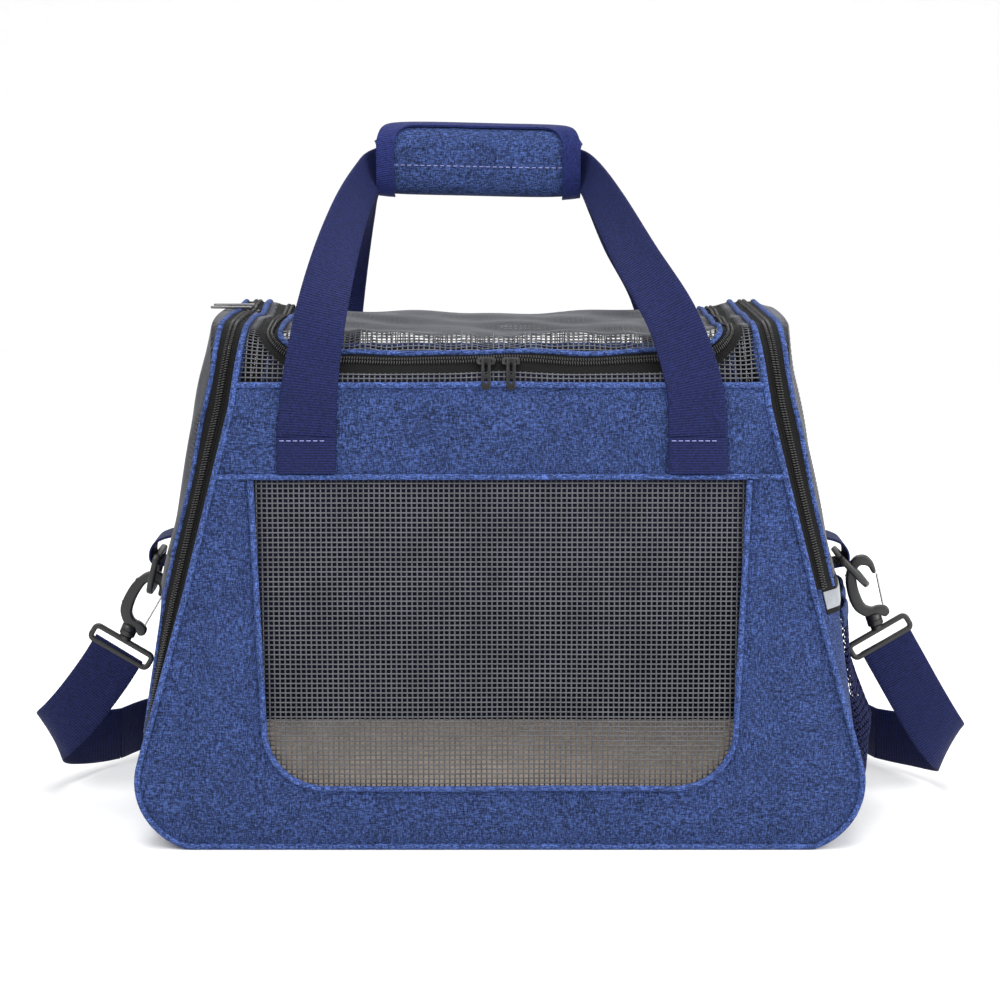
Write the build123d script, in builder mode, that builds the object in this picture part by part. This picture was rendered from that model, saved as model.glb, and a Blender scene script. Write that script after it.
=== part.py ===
from build123d import *
import os
from math import cos, radians, sin

# Soft-sided pet carrier. Millimetres, X to the right, Y to the rear, Z up.
# The origin is the centre of the base, on the surface that the carrier stands on.

# ---- driving dimensions ----
HALF_DEPTH = 125.0
BODY_HEIGHT = 340.0
TOP_RADIUS = 46.0
CORNER_RADIUS = 45.0
CORNER_X = 192.9
PANEL = 2.4
PROUD = 1.6
PIPE_HALF = 2.2
GAP = 0.3
FAR = 400.0

# Half widths at four heights: along the front seam, the end-door seam, the shoulder
# of the end panel and the middle of the end panel.
LEVELS = (0.0, 170.0, 294.0, 340.0)
SEAM_X = (252.6, 204.0, 172.0, 165.0)
DOOR_X = (246.0, 220.0, 191.5, 183.0)
SHOULDER_X = (240.0, 223.5, 199.0, 188.0)
MIDDLE_X = (241.0, 229.5, 204.0, 193.0)
DOOR_Y, DOOR_PIPE_Y, SPLIT_Y, TAPE_Y, SEAM_Y = 107.0, 110.6, 115.8, 122.0, 122.3
SHOULDER_Y = 70.0

# Heights of the seams
ARC_Z = BODY_HEIGHT - TOP_RADIUS
ARC_Y = HALF_DEPTH - TOP_RADIUS
HINGE_Z = 193.0
YOKE_LOW, YOKE_HIGH = 245.3, 307.0
LEFT_MESH_Z, RIGHT_MESH_Z = 170.0, 179.0
LEFT_ZIP_Z, RIGHT_ZIP_Z = 75.0, 174.0

# Window in the front panel
WINDOW_TOP, WINDOW_LOW = 238.0, 42.0
WINDOW_TOP_X, WINDOW_LOW_X = 158.0, 150.0
WINDOW_RADIUS = 38.0

# Top flap, its piping, its zip and its hinge
FLAP_X, FLAP_Y = 142.0, 108.5
SPLIT_X, SPLIT_FRONT = 149.6, 113.4
TAPE_X, TAPE_FRONT = 157.0, 117.6
FLAP_REAR = 80.0
FLAP_RADIUS = 20.0

# Webbing
WEB_WIDTH, WEB_THICK = 38.0, 2.0
STRAP_THICK = 1.8

os.makedirs("parts", exist_ok=True)


def write(piece, label):
    """Labels a finished piece and writes its STEP file."""
    piece.part.label = label
    export_step(piece.part, f"parts/{label}.step")


def at_height(z, widths):
    """Half width at one height, in straight lines between the four levels."""
    z = min(max(z, LEVELS[0]), LEVELS[-1])
    for low, high, w_low, w_high in zip(LEVELS, LEVELS[1:], widths, widths[1:]):
        if z <= high:
            return w_low + (w_high - w_low) * (z - low) / (high - low)


def seam_x(z):
    return at_height(z, SEAM_X)


def door_x(z):
    return at_height(z, DOOR_X)


def split_x(z):
    return (seam_x(z) + door_x(z)) / 2


# ---- forms that the panels are cut from ----
def envelope(inset):
    """The closed outer form of the bag, drawn in by inset all round."""
    with BuildPart() as form:
        rows = zip(LEVELS, SEAM_X, DOOR_X, SHOULDER_X, MIDDLE_X)
        for z, seam, door, shoulder, middle in rows:
            half = [
                (seam - inset, HALF_DEPTH - inset),
                (door - inset, DOOR_Y - inset / 2),
                (shoulder - inset, SHOULDER_Y),
                (middle - inset, 0),
                (shoulder - inset, -SHOULDER_Y),
                (door - inset, -DOOR_Y + inset / 2),
                (seam - inset, -HALF_DEPTH + inset),
            ]
            other = [(-x, -y) for x, y in half]
            level = {LEVELS[0]: inset, LEVELS[-1]: BODY_HEIGHT - inset}.get(z, z)
            with BuildSketch(Plane.XY.offset(level)):
                with BuildLine():
                    Polyline(*half, *other, close=True)
                make_face()
        loft(ruled=True)
        depth, high = HALF_DEPTH - inset, BODY_HEIGHT - inset
        with BuildSketch(Plane.YZ):
            with BuildLine():
                Polyline((-depth, ARC_Z), (-depth, inset), (depth, inset), (depth, ARC_Z))
                CenterArc((ARC_Y, ARC_Z), TOP_RADIUS - inset, 0, 90)
                Line((ARC_Y, high), (-ARC_Y, high))
                CenterArc((-ARC_Y, ARC_Z), TOP_RADIUS - inset, 90, 90)
            make_face()
        extrude(amount=FAR, both=True, mode=Mode.INTERSECT)
        radius = CORNER_RADIUS - inset
        side = CORNER_X + radius
        ledge = CORNER_RADIUS + 7.0
        with BuildSketch(Plane.XZ):
            with BuildLine():
                Line((-CORNER_X, inset), (CORNER_X, inset))
                CenterArc((CORNER_X, CORNER_RADIUS), radius, -90, 90)
                Polyline(
                    (side, CORNER_RADIUS), (side, ledge), (FAR, ledge), (FAR, FAR),
                    (-FAR, FAR), (-FAR, ledge), (-side, ledge), (-side, CORNER_RADIUS),
                )
                CenterArc((-CORNER_X, CORNER_RADIUS), radius, 180, 90)
            make_face()
        extrude(amount=FAR, both=True, mode=Mode.INTERSECT)
    return form.part


def layer(outer, inner):
    """The skin between two envelopes, above the floor."""
    outside, inside = envelope(outer), envelope(inner)
    above_floor = block((-FAR, -FAR, 0), (FAR, FAR, FAR))
    with BuildPart() as skin:
        add(outside)
        add(inside, mode=Mode.SUBTRACT)
        add(above_floor, mode=Mode.INTERSECT)
    return skin.part


def block(low, high):
    """A plain zone between two opposite corners."""
    middle = tuple((a + b) / 2 for a, b in zip(low, high))
    sides = tuple(b - a for a, b in zip(low, high))
    with BuildPart() as zone:
        with Locations(middle):
            Box(*sides)
    return zone.part


def heights(low, high):
    """The heights where a zone's outline bends, from low to high."""
    return [low] + [z for z in LEVELS if low < z < high] + [high]


def band(low, high, inset):
    """The front, top and back between the two end seams, drawn in by inset."""
    right = [(seam_x(z) - inset, z) for z in heights(low, high)]
    left = [(-x, z) for x, z in reversed(right)]
    with BuildPart() as zone:
        with BuildSketch(Plane.XZ):
            with BuildLine():
                Polyline(*right, *left, close=True)
            make_face()
        extrude(amount=FAR, both=True)
    return zone.part


def end_strip(side, low, high, inner, outer):
    """A strip of one end that runs up the corner and over the top, between two lines."""
    levels = heights(low, high)
    near = [(side * inner(z), z) for z in levels]
    away = [(side * outer(z), z) for z in reversed(levels)]
    with BuildPart() as zone:
        with BuildSketch(Plane.XZ):
            with BuildLine():
                Polyline(*near, *away, close=True)
            make_face()
        extrude(amount=FAR, both=True)
    return zone.part


def front_outline(inset, high):
    """The front panel's outline as a prism along Y, drawn in by inset."""
    radius = CORNER_RADIUS - inset
    slant = 15.95
    foot = (CORNER_X + radius * cos(radians(slant)), CORNER_RADIUS + radius * sin(radians(slant)))
    side = [foot] + [(seam_x(z) - inset, z) for z in heights(LEVELS[1], high)]
    other = [(-x, z) for x, z in reversed(side)]
    with BuildPart() as zone:
        with BuildSketch(Plane.XZ):
            with BuildLine():
                Line((-CORNER_X, inset), (CORNER_X, inset))
                CenterArc((CORNER_X, CORNER_RADIUS), radius, -90, 90 + slant)
                Polyline(*side, *other)
                CenterArc((-CORNER_X, CORNER_RADIUS), radius, 180 - slant, 90 + slant)
            make_face()
        extrude(amount=FAR, both=True)
    return zone.part


def window(grow):
    """The window's outline as a prism along Y, grown outward by grow."""
    top_x, low_x = WINDOW_TOP_X + grow, WINDOW_LOW_X + grow
    top, low = WINDOW_TOP + grow, WINDOW_LOW - grow
    with BuildPart() as zone:
        with BuildSketch(Plane.XZ) as outline:
            with BuildLine():
                Polyline((-top_x, top), (-low_x, low), (low_x, low), (top_x, top), close=True)
            make_face()
            fillet(outline.vertices().group_by(Axis.Y)[0], WINDOW_RADIUS + grow)
        extrude(amount=FAR, both=True)
    return zone.part


def plan_zone(half_x, front_y, radius, rear_y):
    """A round-cornered area of the top, from its front edge back to rear_y."""
    with BuildPart() as zone:
        with BuildSketch(Plane.XY.offset(YOKE_HIGH)) as outline:
            with BuildLine():
                Polyline(
                    (-half_x, -front_y), (half_x, -front_y), (half_x, rear_y), (-half_x, rear_y),
                    close=True,
                )
            make_face()
            fillet(outline.vertices().group_by(Axis.Y)[0], radius)
        extrude(amount=FAR)
    return zone.part


def cut(source, *zones):
    """What the source and every zone share."""
    with BuildPart() as piece:
        add(source)
        for zone in zones:
            add(zone, mode=Mode.INTERSECT)
    return piece.part


def ribbon(stations):
    """Flat webbing through stations of centre, width direction, width and thickness."""
    centres = [Vector(*station[0]) for station in stations]
    ends = zip([centres[0]] + centres[:-1], centres[1:] + [centres[-1]])
    runs = [after - before for before, after in ends]
    with BuildPart() as web:
        for (_, across, width, thick), centre, run in zip(stations, centres, runs):
            along = run.normalized()
            flat = Vector(*across) - along * Vector(*across).dot(along)
            with BuildSketch(Plane(origin=centre, x_dir=flat, z_dir=along)):
                Rectangle(width, thick)
        loft(ruled=True)
    return web.part


WALL = layer(0, PANEL)
RIB = layer(-PROUD, PANEL)
WINDOW_SKIN = layer(0.6, 1.8)
FRONT_SLAB = block((-FAR, -FAR, 0), (FAR, -SEAM_Y, ARC_Z))
BACK_SLAB = block((-FAR, SEAM_Y, 0), (FAR, FAR, ARC_Z))
FRONT_HALF = block((-FAR, -FAR, 0), (FAR, -ARC_Y, FAR))


# ---- base, board and mat ----
with BuildPart() as base_panel:
    with BuildSketch():
        Rectangle(2 * CORNER_X - 4, 2 * TAPE_Y)
    extrude(amount=PANEL)
write(base_panel, "base_panel")

BOARD_LOW, BOARD_THICK = PANEL + 0.3, 3.0
BOARD_X, BOARD_Y = 186.0, 117.0
with BuildPart() as base_board:
    with BuildSketch(Plane.XY.offset(BOARD_LOW)):
        RectangleRounded(2 * BOARD_X, 2 * BOARD_Y, 12)
    extrude(amount=BOARD_THICK)
write(base_board, "base_board")

MAT_LOW, MAT_TOP = BOARD_LOW + BOARD_THICK + 0.3, 28.0
with BuildPart() as bed_mat:
    add(cut(envelope(4.0), block((-FAR, -FAR, MAT_LOW), (FAR, FAR, MAT_TOP))))
write(bed_mat, "bed_mat")


# ---- front and back walls ----
clear = PIPE_HALF + 0.1
whole_panel = cut(WALL, FRONT_SLAB, front_outline(clear, YOKE_LOW - clear))
window_seat = window(2 * PIPE_HALF + 0.1)
with BuildPart() as front_panel:
    add(whole_panel)
    add(window_seat, mode=Mode.SUBTRACT)
write(front_panel, "front_panel")

back_wall = mirror(whole_panel, about=Plane.XZ)
with BuildPart() as back_panel:
    add(back_wall)
write(back_panel, "back_panel")

window_net = cut(WINDOW_SKIN, FRONT_SLAB, window(-0.1))
with BuildPart() as front_window_mesh:
    add(window_net)
write(front_window_mesh, "front_window_mesh")

front_strip = cut(WALL, FRONT_HALF, band(YOKE_LOW + clear, YOKE_HIGH - clear, clear))
back_strip = mirror(front_strip, about=Plane.XZ)
for name, strip in (("front_yoke", front_strip), ("back_yoke", back_strip)):
    with BuildPart() as yoke:
        add(strip)
    write(yoke, name)

window_rib = cut(RIB, FRONT_SLAB, window(2 * PIPE_HALF))
window_hole = window(0)
with BuildPart() as window_piping:
    add(window_rib)
    add(window_hole, mode=Mode.SUBTRACT)
write(window_piping, "window_piping")

yoke_ribs = []
for line in (YOKE_LOW, YOKE_HIGH):
    front_rib = cut(RIB, FRONT_HALF, band(line - PIPE_HALF, line + PIPE_HALF, PIPE_HALF + 0.1))
    yoke_ribs += [front_rib, mirror(front_rib, about=Plane.XZ)]
with BuildPart() as yoke_piping:
    for rib in yoke_ribs:
        add(rib)
write(yoke_piping, "yoke_piping")


def seam_near(z):
    return seam_x(z) - PIPE_HALF


def seam_away(z):
    return seam_x(z) + PIPE_HALF


edge_zone = front_outline(-PIPE_HALF, ARC_Z)
low_ribs = [cut(RIB, slab, edge_zone) for slab in (FRONT_SLAB, BACK_SLAB)]
inner_outline = front_outline(PIPE_HALF, ARC_Z)
arch_ribs = [cut(RIB, end_strip(side, ARC_Z, FAR, seam_near, seam_away)) for side in (-1, 1)]
with BuildPart() as seam_piping:
    for rib in low_ribs:
        add(rib)
    add(inner_outline, mode=Mode.SUBTRACT)
    for rib in arch_ribs:
        add(rib)
write(seam_piping, "seam_piping")


# ---- top: border, flap and its zip ----
FLAP_END = FLAP_REAR - GAP
PIPE_END = FLAP_REAR - 4.0
PIPE_INNER_X, PIPE_INNER_Y = FLAP_X - 2 * PIPE_HALF, FLAP_Y - 3.4
SLIT = 0.2


def from_top(source, outer, inner):
    """The part of the source's top between two nested round-cornered areas."""
    outside = cut(source, plan_zone(*outer))
    inside = plan_zone(*inner)
    with BuildPart() as ring:
        add(outside)
        add(inside, mode=Mode.SUBTRACT)
    return ring.part


border = cut(WALL, band(YOKE_HIGH + PIPE_HALF + 0.1, FAR, PIPE_HALF + 0.1))
opening = plan_zone(TAPE_X + 0.1, TAPE_FRONT + 0.1, FLAP_RADIUS + 6, FLAP_REAR + GAP)
with BuildPart() as top_border_mesh:
    add(border)
    add(opening, mode=Mode.SUBTRACT)
write(top_border_mesh, "top_border_mesh")

fixed_tape = from_top(
    WALL,
    (TAPE_X, TAPE_FRONT, FLAP_RADIUS + 6, FLAP_REAR),
    (SPLIT_X + SLIT, SPLIT_FRONT + SLIT, FLAP_RADIUS + 3, FAR),
)
with BuildPart() as top_zip_tape:
    add(fixed_tape)
write(top_zip_tape, "top_zip_tape")

loose_tape = from_top(
    WALL,
    (SPLIT_X - SLIT, SPLIT_FRONT - SLIT, FLAP_RADIUS + 3, FLAP_END),
    (FLAP_X + 0.1, FLAP_Y + 0.1, FLAP_RADIUS, FAR),
)
with BuildPart() as top_flap_tape:
    add(loose_tape)
write(top_flap_tape, "top_flap_tape")

flap_rib = from_top(
    RIB,
    (FLAP_X, FLAP_Y, FLAP_RADIUS, PIPE_END),
    (PIPE_INNER_X, PIPE_INNER_Y, FLAP_RADIUS - 3, FAR),
)
with BuildPart() as top_flap_piping:
    add(flap_rib)
write(top_flap_piping, "top_flap_piping")

flap_net = cut(WALL, plan_zone(PIPE_INNER_X - 0.1, PIPE_INNER_Y - 0.1, FLAP_RADIUS - 3, FLAP_END))
with BuildPart() as top_flap_mesh:
    add(flap_net)
write(top_flap_mesh, "top_flap_mesh")


# ---- ends: fixed tapes, lower panels, skirts and folding doors ----
def outer_tape_near(z):
    return seam_x(z) + PIPE_HALF + 0.1


def outer_tape_away(z):
    return split_x(z) - 0.15


def inner_tape_near(z):
    return split_x(z) + 0.15


def inner_tape_away(z):
    return door_x(z) - 3.3


def door_pipe_near(z):
    return door_x(z) - 3.2


def door_pipe_away(z):
    return door_x(z) - 0.1


def door_mesh_near(z):
    return door_x(z) + 0.05


def far_away(z):
    return FAR


def side_block(side, y_low, y_high, z_low, z_high):
    """The front and the rear part of one end between two distances from its middle."""
    x_low, x_high = sorted((side * 150.0, side * FAR))
    front = block((x_low, -y_high, z_low), (x_high, -y_low, z_high))
    return front, mirror(front, about=Plane.XZ)


def gather(name, pieces):
    """Writes one node from the zones cut for it."""
    with BuildPart() as node:
        for piece in pieces:
            add(piece)
    write(node, name)


def end_pieces(name, side, zip_low, mesh_low):
    """The fixed and folding pieces of one end."""
    door_low, skirt_high = HINGE_Z + GAP, HINGE_Z - GAP

    def strip(source, low, high, near, away):
        return cut(source, end_strip(side, low, high, near, away))

    gather(f"{name}_door_mesh", [strip(WALL, door_low, FAR, door_mesh_near, far_away)])
    gather(f"{name}_door_piping", [strip(RIB, door_low, FAR, door_pipe_near, door_pipe_away)])
    gather(f"{name}_door_tape", [strip(WALL, door_low, FAR, inner_tape_near, inner_tape_away)])

    long_zip = zip_low < LEVELS[1]
    tapes = [strip(WALL, max(zip_low, LEVELS[1]), FAR, outer_tape_near, outer_tape_away)]
    if long_zip:
        outer_low = side_block(side, SPLIT_Y + 0.15, TAPE_Y, zip_low, LEVELS[1])
        inner_low = side_block(side, DOOR_Y + 0.1, SPLIT_Y - 0.15, zip_low, LEVELS[1])
        tapes += [cut(WALL, zone) for zone in outer_low + inner_low]
        tapes += [strip(WALL, LEVELS[1], skirt_high, inner_tape_near, door_pipe_away)]
    gather(f"{name}_zip_tape", tapes)

    skirt_near = door_mesh_near if long_zip else inner_tape_near
    gather(f"{name}_skirt_mesh", [strip(WALL, mesh_low, skirt_high, skirt_near, far_away)])

    x_low, x_high = sorted((side * (CORNER_X - 1.9), side * FAR))
    lower = [cut(WALL, block((x_low, -TAPE_Y, 0), (x_high, TAPE_Y, zip_low - 0.1)))]
    if long_zip:
        lower += [cut(WALL, block((x_low, -DOOR_Y, 0), (x_high, DOOR_Y, mesh_low - 0.1)))]
    else:
        lower += [strip(WALL, zip_low - 0.1, mesh_low - 0.1, inner_tape_near, far_away)]
    gather(f"{name}_lower_panel", lower)


end_pieces("left", -1, LEFT_ZIP_Z, LEFT_MESH_Z)
end_pieces("right", 1, RIGHT_ZIP_Z, RIGHT_MESH_Z)

# ---- reflective strip and bottle pocket on the right end ----
STRIP_LOW, STRIP_HIGH = 157.0, 178.0
gather(
    "reflective_strip",
    [cut(layer(-1.2, -0.1), block((150, -104, STRIP_LOW), (FAR, 104, STRIP_HIGH)))],
)

POCKET_Y, POCKET_WALL = 98.0, 1.4
POCKET_LEVELS = (
    (16.0, 236.0), (40.0, 252.0), (70.0, 259.0), (94.0, 245.5), (112.0, 240.2), (146.0, 240.2),
)


def pocket_form(drawn_in):
    """The bulging form of the pocket, drawn in by a wall thickness."""
    with BuildPart() as form:
        for z, reach in POCKET_LEVELS:
            outline = [
                (200, -POCKET_Y + drawn_in), (at_height(z, DOOR_X), -POCKET_Y + drawn_in),
                (reach - drawn_in, -POCKET_Y / 2), (reach - drawn_in, POCKET_Y / 2),
                (at_height(z, DOOR_X), POCKET_Y - drawn_in), (200, POCKET_Y - drawn_in),
            ]
            with BuildSketch(Plane.XY.offset(z)):
                with BuildLine():
                    Polyline(*outline, close=True)
                make_face()
        loft(ruled=True)
    return form.part


pocket_outside, pocket_inside, body_form = pocket_form(0), pocket_form(POCKET_WALL), envelope(-0.1)
with BuildPart() as pocket_mesh:
    add(pocket_outside)
    add(pocket_inside, mode=Mode.SUBTRACT)
    add(body_form, mode=Mode.SUBTRACT)
write(pocket_mesh, "pocket_mesh")

BINDING_LOW, BINDING_HIGH, BINDING_WALL = 146.1, 156.0, 1.4
BINDING_X = POCKET_LEVELS[-1][1]
with BuildPart() as pocket_binding:
    with BuildSketch(Plane.XY.offset(BINDING_LOW)):
        with BuildLine():
            Polyline(
                (200, -POCKET_Y), (224, -POCKET_Y), (BINDING_X, -POCKET_Y / 2),
                (BINDING_X, POCKET_Y / 2), (224, POCKET_Y), (200, POCKET_Y), close=True,
            )
        make_face()
        offset(amount=-BINDING_WALL, mode=Mode.SUBTRACT)
    extrude(amount=BINDING_HIGH - BINDING_LOW)
    add(body_form, mode=Mode.SUBTRACT)
write(pocket_binding, "pocket_binding")

# ---- carrying handles ----
HANDLE_Z, HANDLE_Y = 276.0, 128.2
GRIP_X0, GRIP_X1 = -83.0, 54.0
GRIP_Z = 446.0
WEB_IN_GRIP = (20.0, 3.0)
LEFT_LEG = (
    ((-124, -HANDLE_Y, HANDLE_Z + GAP), (1, 0, 0)),
    ((-122, -HANDLE_Y, 306), (1, 0, 0)),
    ((-116, -117, 350), (1, 0, 0)),
    ((-109, -88, 390), (0.96, 0, -0.28)),
    ((-101, -52, 420), (0.77, 0, -0.64)),
    ((-93, -20, 437), (0.35, 0, -0.94)),
)
RIGHT_LEG = (
    ((66, -20, 437), (0.35, 0, 0.94)),
    ((75, -52, 420), (0.77, 0, 0.64)),
    ((90, -88, 390), (0.96, 0, 0.28)),
    ((113, -117, 350), (1, 0, 0)),
    ((125, -HANDLE_Y, 306), (1, 0, 0)),
    ((127, -HANDLE_Y, HANDLE_Z + GAP), (1, 0, 0)),
)


def handle_stations():
    """Up the left leg, through the grip and down the right leg."""
    for centre, across in LEFT_LEG:
        yield centre, across, WEB_WIDTH - 10 * abs(across[2]), WEB_THICK
    yield (GRIP_X0 + 1, -5, GRIP_Z), (0, 0, -1), *WEB_IN_GRIP
    for x in (GRIP_X0 + 12, GRIP_X1 - 12):
        yield (x, -5, GRIP_Z), (0, 0, -1), *WEB_IN_GRIP
    yield (GRIP_X1 - 1, -5, GRIP_Z), (0, 0, -1), *WEB_IN_GRIP
    for centre, across in RIGHT_LEG:
        turned = (-across[0], 0, -across[2])
        yield centre, turned, WEB_WIDTH - 10 * abs(across[2]), WEB_THICK


handle = ribbon(list(handle_stations()))
gather("front_handle_web", [handle])
gather("rear_handle_web", [mirror(handle, about=Plane.XZ)])

TAIL_LOW, TAIL_HIGH = YOKE_LOW + PIPE_HALF + 0.2, HANDLE_Z - 1.6
with BuildPart() as handle_tails:
    for x in (-124, 127):
        for side in (-1, 1):
            middle_y = side * (HALF_DEPTH + 0.2 + WEB_THICK / 2)
            with Locations((x, middle_y, (TAIL_LOW + TAIL_HIGH) / 2)):
                Box(WEB_WIDTH, WEB_THICK, TAIL_HIGH - TAIL_LOW)
write(handle_tails, "handle_tails")

GRIP_HIGH, GRIP_DEEP, GRIP_RADIUS, GRIP_WALL = 48.0, 44.0, 14.0, 6.0


def grip_tube():
    """The padded wrap as a rounded tube around both handles."""
    with BuildPart() as tube:
        with BuildSketch(Plane.YZ.offset(GRIP_X0)):
            with Locations((0, GRIP_Z)):
                RectangleRounded(GRIP_DEEP, GRIP_HIGH, GRIP_RADIUS)
                RectangleRounded(
                    GRIP_DEEP - 2 * GRIP_WALL, GRIP_HIGH - 2 * GRIP_WALL, GRIP_RADIUS - GRIP_WALL,
                    mode=Mode.SUBTRACT,
                )
        extrude(amount=GRIP_X1 - GRIP_X0)
    return tube.part


wrap = grip_tube()
gather("grip_wrap", [cut(wrap, block((-FAR, -FAR, 0), (FAR, -0.2, 2 * FAR)))])
gather("grip_wrap_leaf", [cut(wrap, block((-FAR, 0.2, 0), (FAR, FAR, 2 * FAR)))])

# ---- zip sliders and pull tabs ----
SLIDER_LONG, SLIDER_WIDE, SLIDER_TALL = 12.0, 5.6, 4.2
SLIDER_CLEAR = 0.5


def slider(place, travel, normal):
    """A zip slider's body and bridge on a tape, at a place on the tape's surface."""
    plane = Plane(origin=place, x_dir=travel, z_dir=normal)
    with BuildPart() as body:
        with BuildSketch(plane.offset(SLIDER_CLEAR)):
            RectangleRounded(SLIDER_LONG, SLIDER_WIDE, 1.6)
        extrude(amount=1.6)
        with BuildSketch(plane.offset(SLIDER_CLEAR + 1.6)):
            Rectangle(SLIDER_LONG - 4, 2.0)
        extrude(amount=SLIDER_TALL - 1.6)
    return body


def pull_tab(hinge, along, normal, length, width):
    """A flat pull with a round eye, hung from a slider's bridge."""
    plane = Plane(origin=hinge, x_dir=along, z_dir=normal)
    with BuildPart() as tab:
        with BuildSketch(plane):
            with Locations((length / 2, 0)):
                SlotOverall(length, width)
            with Locations((length - width, 0)):
                Circle(width / 4, mode=Mode.SUBTRACT)
        extrude(amount=0.8, both=True)
    return tab


TOP_SLIDE_ANGLE = 36.5
TOP_NORMAL = Vector(0, -cos(radians(TOP_SLIDE_ANGLE)), sin(radians(TOP_SLIDE_ANGLE)))
TOP_SLIDE = Vector(0, -ARC_Y, ARC_Z) + TOP_NORMAL * TOP_RADIUS
TOP_DOWN = Vector(0, -0.3, -1).normalized()
TOP_SLIDER_X = {"top_left": -9.0, "top_right": 7.0}
PULL_LIFT = SLIDER_CLEAR + SLIDER_TALL + 1.2
for name, x in TOP_SLIDER_X.items():
    place = TOP_SLIDE + Vector(x, 0, 0)
    write(slider(place, Vector(1, 0, 0), TOP_NORMAL), f"{name}_slider")
    hinge = place + TOP_NORMAL * PULL_LIFT
    write(pull_tab(hinge, TOP_DOWN, Vector(0, -1, 0.3), 21.0, 6.0), f"{name}_pull")

LEFT_SLIDE_X = -170.4
LEFT_SLIDER_Y = {"left_front": 8.0, "left_rear": 27.0}
for name, y in LEFT_SLIDER_Y.items():
    place = Vector(LEFT_SLIDE_X, y, BODY_HEIGHT)
    write(slider(place, Vector(0, 1, 0), Vector(0, 0, 1)), f"{name}_slider")
    hinge = place + Vector(0, 0, PULL_LIFT)
    write(pull_tab(hinge, Vector(-1, 0, 0), Vector(0, 0, 1), 29.0, 5.6), f"{name}_pull")


def facet_point(z):
    """The middle of the right rear fixed tape at one height."""
    x = (outer_tape_near(z) + outer_tape_away(z)) / 2
    share = (x - seam_x(z)) / (door_x(z) - seam_x(z))
    return Vector(x, HALF_DEPTH - share * (HALF_DEPTH - DOOR_Y), z)


RIGHT_SLIDER_Z = 182.0
RIGHT_SLIDE_TOP_Z = 285.0
right_place = facet_point(RIGHT_SLIDER_Z)
right_travel = (facet_point(RIGHT_SLIDE_TOP_Z) - right_place).normalized()
facet_across = Vector(seam_x(230) - door_x(230), HALF_DEPTH - DOOR_Y, 0)
right_normal = facet_across.cross(right_travel).normalized()
write(slider(right_place, right_travel, right_normal), "right_slider")
right_hinge = right_place + right_normal * PULL_LIFT
write(pull_tab(right_hinge, right_travel * -1, right_normal, 24.0, 5.6), "right_pull")


# ---- strap tabs, D-rings, snap hooks and strap loops ----
RING_BAR, RING_WIDE, RING_LONG, RING_ROUND = 4.6, 46.0, 30.8, 15.0
BAR_ROOM = 3.9
LEFT_RING, LEFT_RING_LEAN = Vector(-236.8, 0, 175.5), -14.0
RIGHT_RING, RIGHT_RING_LEAN = Vector(236.0, 0, 174.0), 44.0
TAB_OUTLINE = (
    (-6.0, 15.0), (0.5, 13.0), (4.8, 5.0), (5.6, -1.0), (3.6, -5.0), (-2.0, -5.4), (-6.0, -8.0),
)
tab_clear = envelope(-1.5)
with BuildPart() as strap_tabs:
    for bar in (LEFT_RING, RIGHT_RING):
        side = 1 if bar.X > 0 else -1
        with BuildSketch(Plane.XZ):
            with BuildLine():
                Polyline(*[(bar.X + side * x, bar.Z + z) for x, z in TAB_OUTLINE], close=True)
            make_face()
            with Locations((bar.X, bar.Z)):
                Circle(BAR_ROOM, mode=Mode.SUBTRACT)
        extrude(amount=WEB_WIDTH / 2 - 1.5, both=True)
    add(tab_clear, mode=Mode.SUBTRACT)
write(strap_tabs, "strap_tabs")


def d_ring(pivot, lean):
    """A D-ring hung by its straight bar at the pivot, leaning in the XZ plane."""
    down = Vector(sin(radians(lean)), 0, -cos(radians(lean)))
    plane = Plane(origin=pivot, x_dir=Vector(0, 1, 0), z_dir=Vector(0, 1, 0).cross(down))
    bar = RING_BAR / 2
    with BuildPart() as ring:
        with BuildSketch(plane) as outline:
            with Locations((0, RING_LONG / 2 - bar)):
                Rectangle(RING_WIDE, RING_LONG)
            fillet(outline.vertices().group_by(Axis.Y)[-1], RING_ROUND)
            with Locations((0, RING_LONG / 2 - bar)):
                Rectangle(RING_WIDE - 2 * RING_BAR, RING_LONG - 2 * RING_BAR, mode=Mode.SUBTRACT)
        extrude(amount=bar, both=True)
    return ring


def clip_plane(knuckle, lean):
    """Plane of a snap hook: x across toward the right, y up along its stem."""
    across = Vector(cos(radians(lean)), 0, -sin(radians(lean)))
    return Plane(origin=knuckle, x_dir=across, z_dir=Vector(0, -1, 0))


HOOK_THICK = 6.4
BARREL_LOW, BARREL_LONG, BARREL_RADIUS, POST_RADIUS = -2.6, 8.0, 5.6, 2.0
HOOK_OUTLINE = (
    (-4.5, 4.0), (-11.5, 12.0), (-12.5, 22.0), (-11.0, 34.0), (-6.0, 44.0), (1.0, 49.0),
    (8.0, 47.5), (11.5, 42.0), (11.5, 33.0), (8.5, 33.0), (7.5, 39.5), (2.0, 42.0),
    (-2.5, 38.0), (-4.5, 26.0), (-3.5, 14.0), (1.0, 10.0), (5.0, 10.5), (11.5, 8.0),
    (12.0, 3.0), (8.0, 0.5), (4.5, 3.0),
)


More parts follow.
